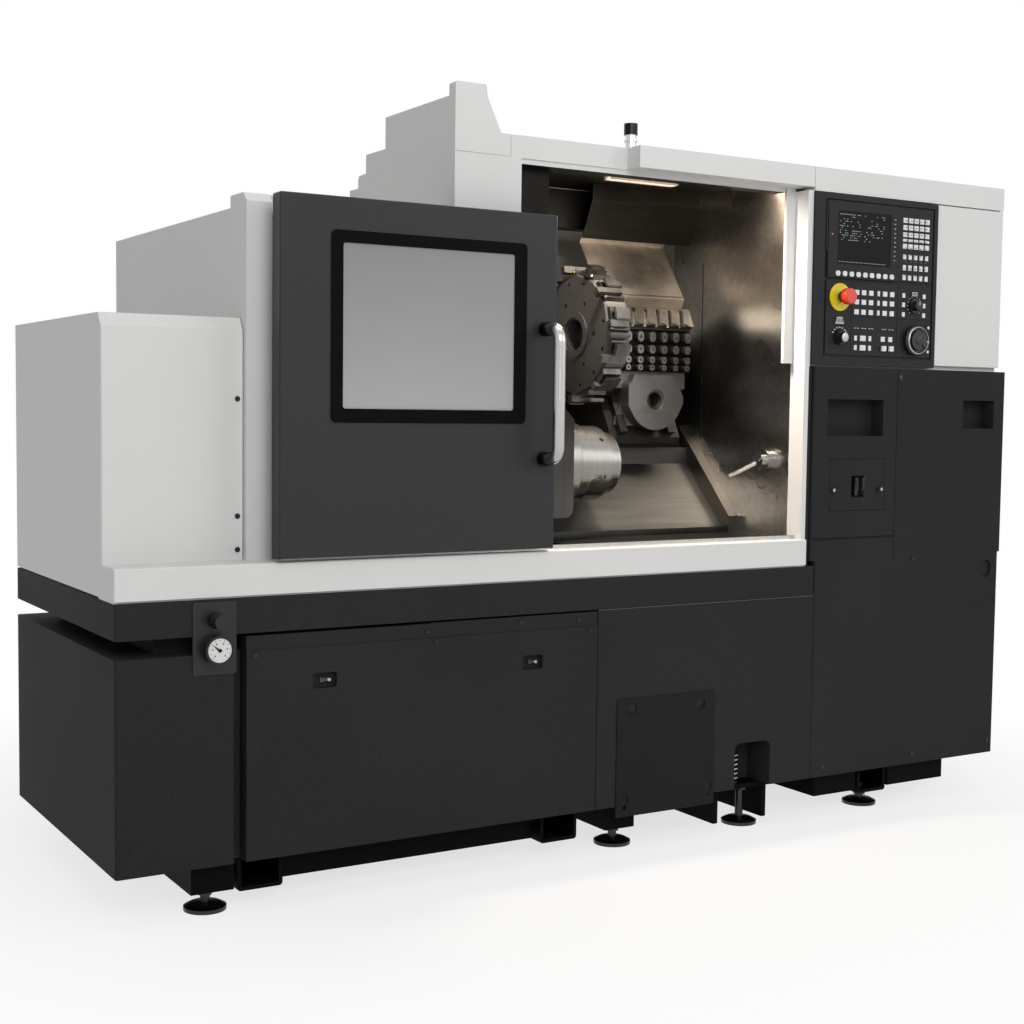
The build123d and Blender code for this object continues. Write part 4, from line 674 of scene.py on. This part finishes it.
for index in range(turretSet["count"]):
    angle = turretSet["first"] + 30 * index
    high = turretSet["seat"] + turretSet["thick"]
    left, right, blockLow, blockHigh = (turretSet[k] for k in ("left", "right", "blockLow", "blockHigh"))
    corners = [onTurret(left, high, blockLow, angle), onTurret(right, high, blockLow, angle),
               onTurret(right, high, blockHigh, angle), onTurret(left, high, blockHigh, angle)]
    plateMesh("clampBlock%02d" % index, corners, 9.2, 2.2, holderSteel, "turret")
    outward = (0, math.cos(math.radians(angle)), math.sin(math.radians(angle)))
    for x in turretSet["bolts"]:
        origin = onTurret(x, high - 1, turretSet["boltAlong"], angle)
        turnedMesh("clampBolt%02d_%d" % (index, int(x)), origin, outward,
                   [(0, 6.2), (2.6, 6.2), (3.2, 5.6), (3.2, 3.4), (0.6, 3.2), (0.6, 0.1)], socketBlack,
                   "turret", sides=20)
    turnedMesh("jet%02d" % index, onTurret(*turretSet["jet"], angle), (-1, 0, 0),
               [(0, 5), (4, 5), (6, 3.6), (8, 1.6), (8, 0.1)], brass if index % 3 == 0 else zinc, "turret",
               sides=20)
print("turret dressed")

# Levelling feet: thread rings on each stud
feetSet = {"places": [(x, y) for x in (216, 1278, 1684, 2112) for y in (76, 730)], "low": 20, "rings": 13,
           "pitch": 3.0}
threadSeeds = [(x, y, feetSet["low"] + feetSet["pitch"] * k) for x, y in feetSet["places"]
               for k in range(feetSet["rings"])]
field("studThreads", threadSeeds, (0, 0, 1), 10.6, 1.4, footMetal, "machine", sides=32)

# Base: corner holes of the cover plate, the seam over the middle panel and the coil by the third foot
# Near-black discs at the holes: painted shade in place of real hollows
shadedPlateHoles = [(1268, 336), (1500, 336), (1500, 130), (1268, 130)]
for index, (x, z) in enumerate(shadedPlateHoles):
    turnedMesh("plateHole%d" % index, (x, -0.2, z), front,
               [(0, 12), (1.2, 11.4), (1.2, 7), (0.2, 6), (0.2, 0.1)], socketBlack, "machine", sides=32)
# The light strip just below the dark seam is a painted highlight on the panel edge
seamSet = {"ends": (1176, 1857), "dark": (600, 602.4), "light": (598.6, 599.6)}
frontPlate("panelSeam", seamSet["ends"], seamSet["dark"], -0.4, 0.4, 0, socketBlack, "machine")
frontPlate("panelEdgeHighlight", seamSet["ends"], seamSet["light"], -0.5, 0.4, 0, greyMarkAndHighlight, "machine")
coilSet = {"x": 1648.0, "y": 60.0, "low": 118.0, "turns": 6, "steps": 12, "radius": 13.0, "pitch": 12.0,
           "wire": 2.4, "postFoot": 112}
coilLine = []
for index in range(coilSet["turns"] * coilSet["steps"] + 1):
    turn = math.radians(360 / coilSet["steps"] * index)
    coilLine.append((coilSet["x"] + coilSet["radius"] * math.cos(turn),
                     coilSet["y"] + coilSet["radius"] * math.sin(turn),
                     coilSet["low"] + coilSet["pitch"] * index / coilSet["steps"]))
tubeMesh("footCoil", coilLine, coilSet["wire"], zinc, "machine")
turnedMesh("coilPost", (coilSet["x"], coilSet["y"], coilSet["postFoot"]), (0, 0, 1),
           [(0, 12), (5, 12), (5, 6), (84, 6), (84, 0.1)], footMetal, "machine", sides=28)
print("base dressed")

# Chuck: three key screws round the nose
chuckSet = {"x": 1336.0, "seat": 95.0, "first": 200, "keys": 3}
for index in range(chuckSet["keys"]):
    turn = math.radians(chuckSet["first"] + 360 / chuckSet["keys"] * index)
    outward = (0, math.cos(turn), math.sin(turn))
    keyPlace = (chuckSet["x"], slideSet["y"] + chuckSet["seat"] * outward[1],
                slideSet["z"] + chuckSet["seat"] * outward[2])
    turnedMesh("chuckKey%d" % index, keyPlace, outward,
               [(0, 5.5), (2.1, 5.5), (2.4, 4.6), (2.4, 3), (0.8, 2.8), (0.8, 0.1)], socketBlack, "spindle",
               sides=20)

# Soffit: dark stainless sheet under the header, around the lamp
soffitSet = {"left": 924.0, "right": 1847.0, "front": 62.0, "back": 420.0, "height": 1697.4,
             "lampX": (1297, 1503), "lampY": (139, 197), "rear": (1480, 500)}
sx0, sx1, sy0, sy1, sz = (soffitSet[k] for k in ("left", "right", "front", "back", "height"))
lampX, lampY, rear = soffitSet["lampX"], soffitSet["lampY"], soffitSet["rear"]
soffitMat = brushed("soffitMat", (0.11, 0.103, 0.094), 0.34, (5, 60, 60), smear=0.3)
soffitPlates = (("soffitFront", sx0, sx1, sy0, lampY[0]), ("soffitBack", sx0, sx1, lampY[1], sy1),
                ("soffitLeft", sx0, lampX[0], lampY[0], lampY[1]),
                ("soffitRight", lampX[1], sx1, lampY[0], lampY[1]),
                ("soffitRear", rear[0], sx1, sy1, rear[1]))
for name, x0, x1, y0, y1 in soffitPlates:
    plateMesh(name, [(x0, y0, sz), (x0, y1, sz), (x1, y1, sz), (x1, y0, sz)], 0.8, 0, soffitMat, "machine")

# Guard beside the chuck: low plate with a rounded toe, its upper part set back behind the door
g = {"left": 920.0, "right": 1168.0, "backRight": 1085.0, "bottom": 815.0, "top": 1656.0, "step": 1084.0,
     "front": 105.0, "thick": 18.0, "toe": 22.0, "corner": 30, "slope": 10}
guardOutline = [(g["left"], g["bottom"])]
for index in range(7):
    turn = math.radians(-90 + 15 * index)
    guardOutline.append((g["right"] - g["toe"] + g["toe"] * math.cos(turn),
                         g["bottom"] + g["toe"] + g["toe"] * math.sin(turn)))
guardOutline += [(g["right"], g["step"] - g["corner"]), (g["right"] - g["corner"], g["step"]),
                 (g["backRight"], g["step"] + g["slope"]), (g["backRight"], g["top"]), (g["left"], g["top"])]
guard = plateMesh("guardPlate", [(x, g["front"], z) for x, z in guardOutline], g["thick"], 1.0, guardSteelShaded,
                  "machine")
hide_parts("guard_plate")

# Boring seat: stepped sleeve with a brass insert at its bottom
seatSet = {"x": 1627.0, "z": 1108.0, "front": 403.0, "bottom": 447.0}
turnedMesh("seatSleeve", (seatSet["x"], seatSet["front"], seatSet["z"]), (0, 1, 0),
           [(0, 24.6), (0, 21.5), (3, 19.5), (30, 19.5), (30, 24.6), (0, 24.6)], darkPart, "cross_carriage",
           sides=48)
turnedMesh("seatInsert", (seatSet["x"], seatSet["bottom"], seatSet["z"]), front,
           [(0, 14), (8, 13), (10, 9), (10, 5), (4, 4), (4, 0.1)], brass, "cross_carriage", sides=32)

# Work area: wall seam and the bent rods at the wall nozzle
wallSet = {"x": 1847.2, "seamLine": [(480, 1500), (484, 1500), (484, 1000), (480, 1000)],
           "upperRod": [(1846, 232, 962), (1820, 190, 956), (1800, 160, 952), (1790, 150, 950)],
           "lowerRod": [(1846, 210, 905), (1822, 196, 900), (1812, 184, 884), (1818, 176, 872),
                        (1830, 176, 876)]}
plateMesh("wallSeam", [(wallSet["x"], y, z) for y, z in wallSet["seamLine"]], 1.0, 0.2, roofSteel, "machine")
tubeMesh("wallRodUpper", wallSet["upperRod"], 1.6, zinc, "machine")
tubeMesh("wallRodLower", wallSet["lowerRod"], 2.2, darkPart, "machine")
print("work area dressed")

# Floor: pale near the machine, fading to the white backdrop
floorSet = {"fadeFrom": 1.0, "fadeTo": 2.2, "near": 0.72, "far": 1.0}
floorMesh = bpy.data.meshes.new("floor")
floorMesh.from_pydata([(-12, -12, 0), (12, -12, 0), (12, 14, 0), (-12, 14, 0)], [], [(0, 1, 2, 3)])
floor = bpy.data.objects.new("floor", floorMesh)
bpy.context.collection.objects.link(floor)
floorMat, floorTree, floorShader = newMat("floorMat")
floorShader.inputs["Base Color"].default_value = (0.92, 0.92, 0.92, 1)
floorShader.inputs["Roughness"].default_value = 0.95
floorShader.inputs["Specular IOR Level"].default_value = 0.1
floorCoord = floorTree.nodes.new("ShaderNodeTexCoord")
floorDistance = floorTree.nodes.new("ShaderNodeVectorMath")
floorDistance.operation = "LENGTH"
link(floorTree, floorCoord.outputs["Object"], floorDistance.inputs[0])
floorFade = floorTree.nodes.new("ShaderNodeMapRange")
floorFade.inputs["From Min"].default_value = floorSet["fadeFrom"]
floorFade.inputs["From Max"].default_value = floorSet["fadeTo"]
floorFade.inputs["To Min"].default_value = floorSet["near"]
floorFade.inputs["To Max"].default_value = floorSet["far"]
link(floorTree, floorDistance.outputs["Value"], floorFade.inputs["Value"])


# One for camera, glossy and transmission rays, and zero for the light that falls on the machine
def showsBackdrop(tree):
    rays = tree.nodes.new("ShaderNodeLightPath")
    first = tree.nodes.new("ShaderNodeMath")
    first.operation = "MAXIMUM"
    link(tree, rays.outputs["Is Camera Ray"], first.inputs[0])
    link(tree, rays.outputs["Is Glossy Ray"], first.inputs[1])
    second = tree.nodes.new("ShaderNodeMath")
    second.operation = "MAXIMUM"
    link(tree, first.outputs["Value"], second.inputs[0])
    link(tree, rays.outputs["Is Transmission Ray"], second.inputs[1])
    return second.outputs["Value"]


floorGlow = floorTree.nodes.new("ShaderNodeEmission")
floorGlow.inputs["Strength"].default_value = 1.0
floorShare = floorTree.nodes.new("ShaderNodeMath")
floorShare.operation = "MULTIPLY"
link(floorTree, showsBackdrop(floorTree), floorShare.inputs[0])
link(floorTree, floorFade.outputs["Result"], floorShare.inputs[1])
floorMix = floorTree.nodes.new("ShaderNodeMixShader")
link(floorTree, floorShare.outputs["Value"], floorMix.inputs["Fac"])
link(floorTree, floorShader.outputs["BSDF"], floorMix.inputs[1])
link(floorTree, floorGlow.outputs["Emission"], floorMix.inputs[2])
link(floorTree, floorMix.outputs["Shader"], floorTree.nodes["Material Output"].inputs["Surface"])
floorMesh.materials.append(floorMat)
print("floor set")

# Light: a plain room, white to the camera, with three lamps outside and two inside
world = bpy.data.worlds.new("room")
bpy.context.scene.world = world
world.use_nodes = True
worldTree = world.node_tree
sky = worldTree.nodes["Background"]
sky.inputs["Color"].default_value = (1, 1, 1, 1)
sky.inputs["Strength"].default_value = 0.36
whiteSky = worldTree.nodes.new("ShaderNodeBackground")
whiteSky.inputs["Color"].default_value = (1, 1, 1, 1)
whiteSky.inputs["Strength"].default_value = 1.0
mixSky = worldTree.nodes.new("ShaderNodeMixShader")
link(worldTree, showsBackdrop(worldTree), mixSky.inputs["Fac"])
link(worldTree, sky.outputs["Background"], mixSky.inputs[1])
link(worldTree, whiteSky.outputs["Background"], mixSky.inputs[2])
link(worldTree, mixSky.outputs["Shader"], worldTree.nodes["World Output"].inputs["Surface"])


def areaLamp(name, place, target, size, power, color=(1, 1, 1)):
    lamp = bpy.data.lights.new(name, "AREA")
    lamp.energy = power
    lamp.color = color
    lamp.shape = "RECTANGLE"
    lamp.size, lamp.size_y = size
    obj = bpy.data.objects.new(name, lamp)
    bpy.context.collection.objects.link(obj)
    obj.location = place
    obj.rotation_mode = "QUATERNION"
    obj.rotation_quaternion = (Vector(target) - Vector(place)).to_track_quat("-Z", "Y")
    obj.visible_camera = False


areaLamp("keyLight", (-1.6, -5.2, 3.4), (0.1, -0.4, 1.2), (3.0, 2.4), 112)
areaLamp("fillLight", (3.6, -4.4, 2.9), (0.5, -0.3, 1.4), (2.5, 2.5), 44)
areaLamp("topLight", (0.0, -0.6, 4.5), (0, 0, 1), (3.5, 2.5), 30)
areaLamp("innerLight", at(1400, 168, 1640), at(1450, 300, 900), (0.21, 0.04), 13, (1.0, 0.88, 0.74))
areaLamp("cornerLight", at(1770, 210, 1625), at(1848, 230, 1590), (0.03, 0.20), 0.35, (1.0, 0.80, 0.60))
bpy.context.scene.view_settings.view_transform = "Standard"
print("light set")
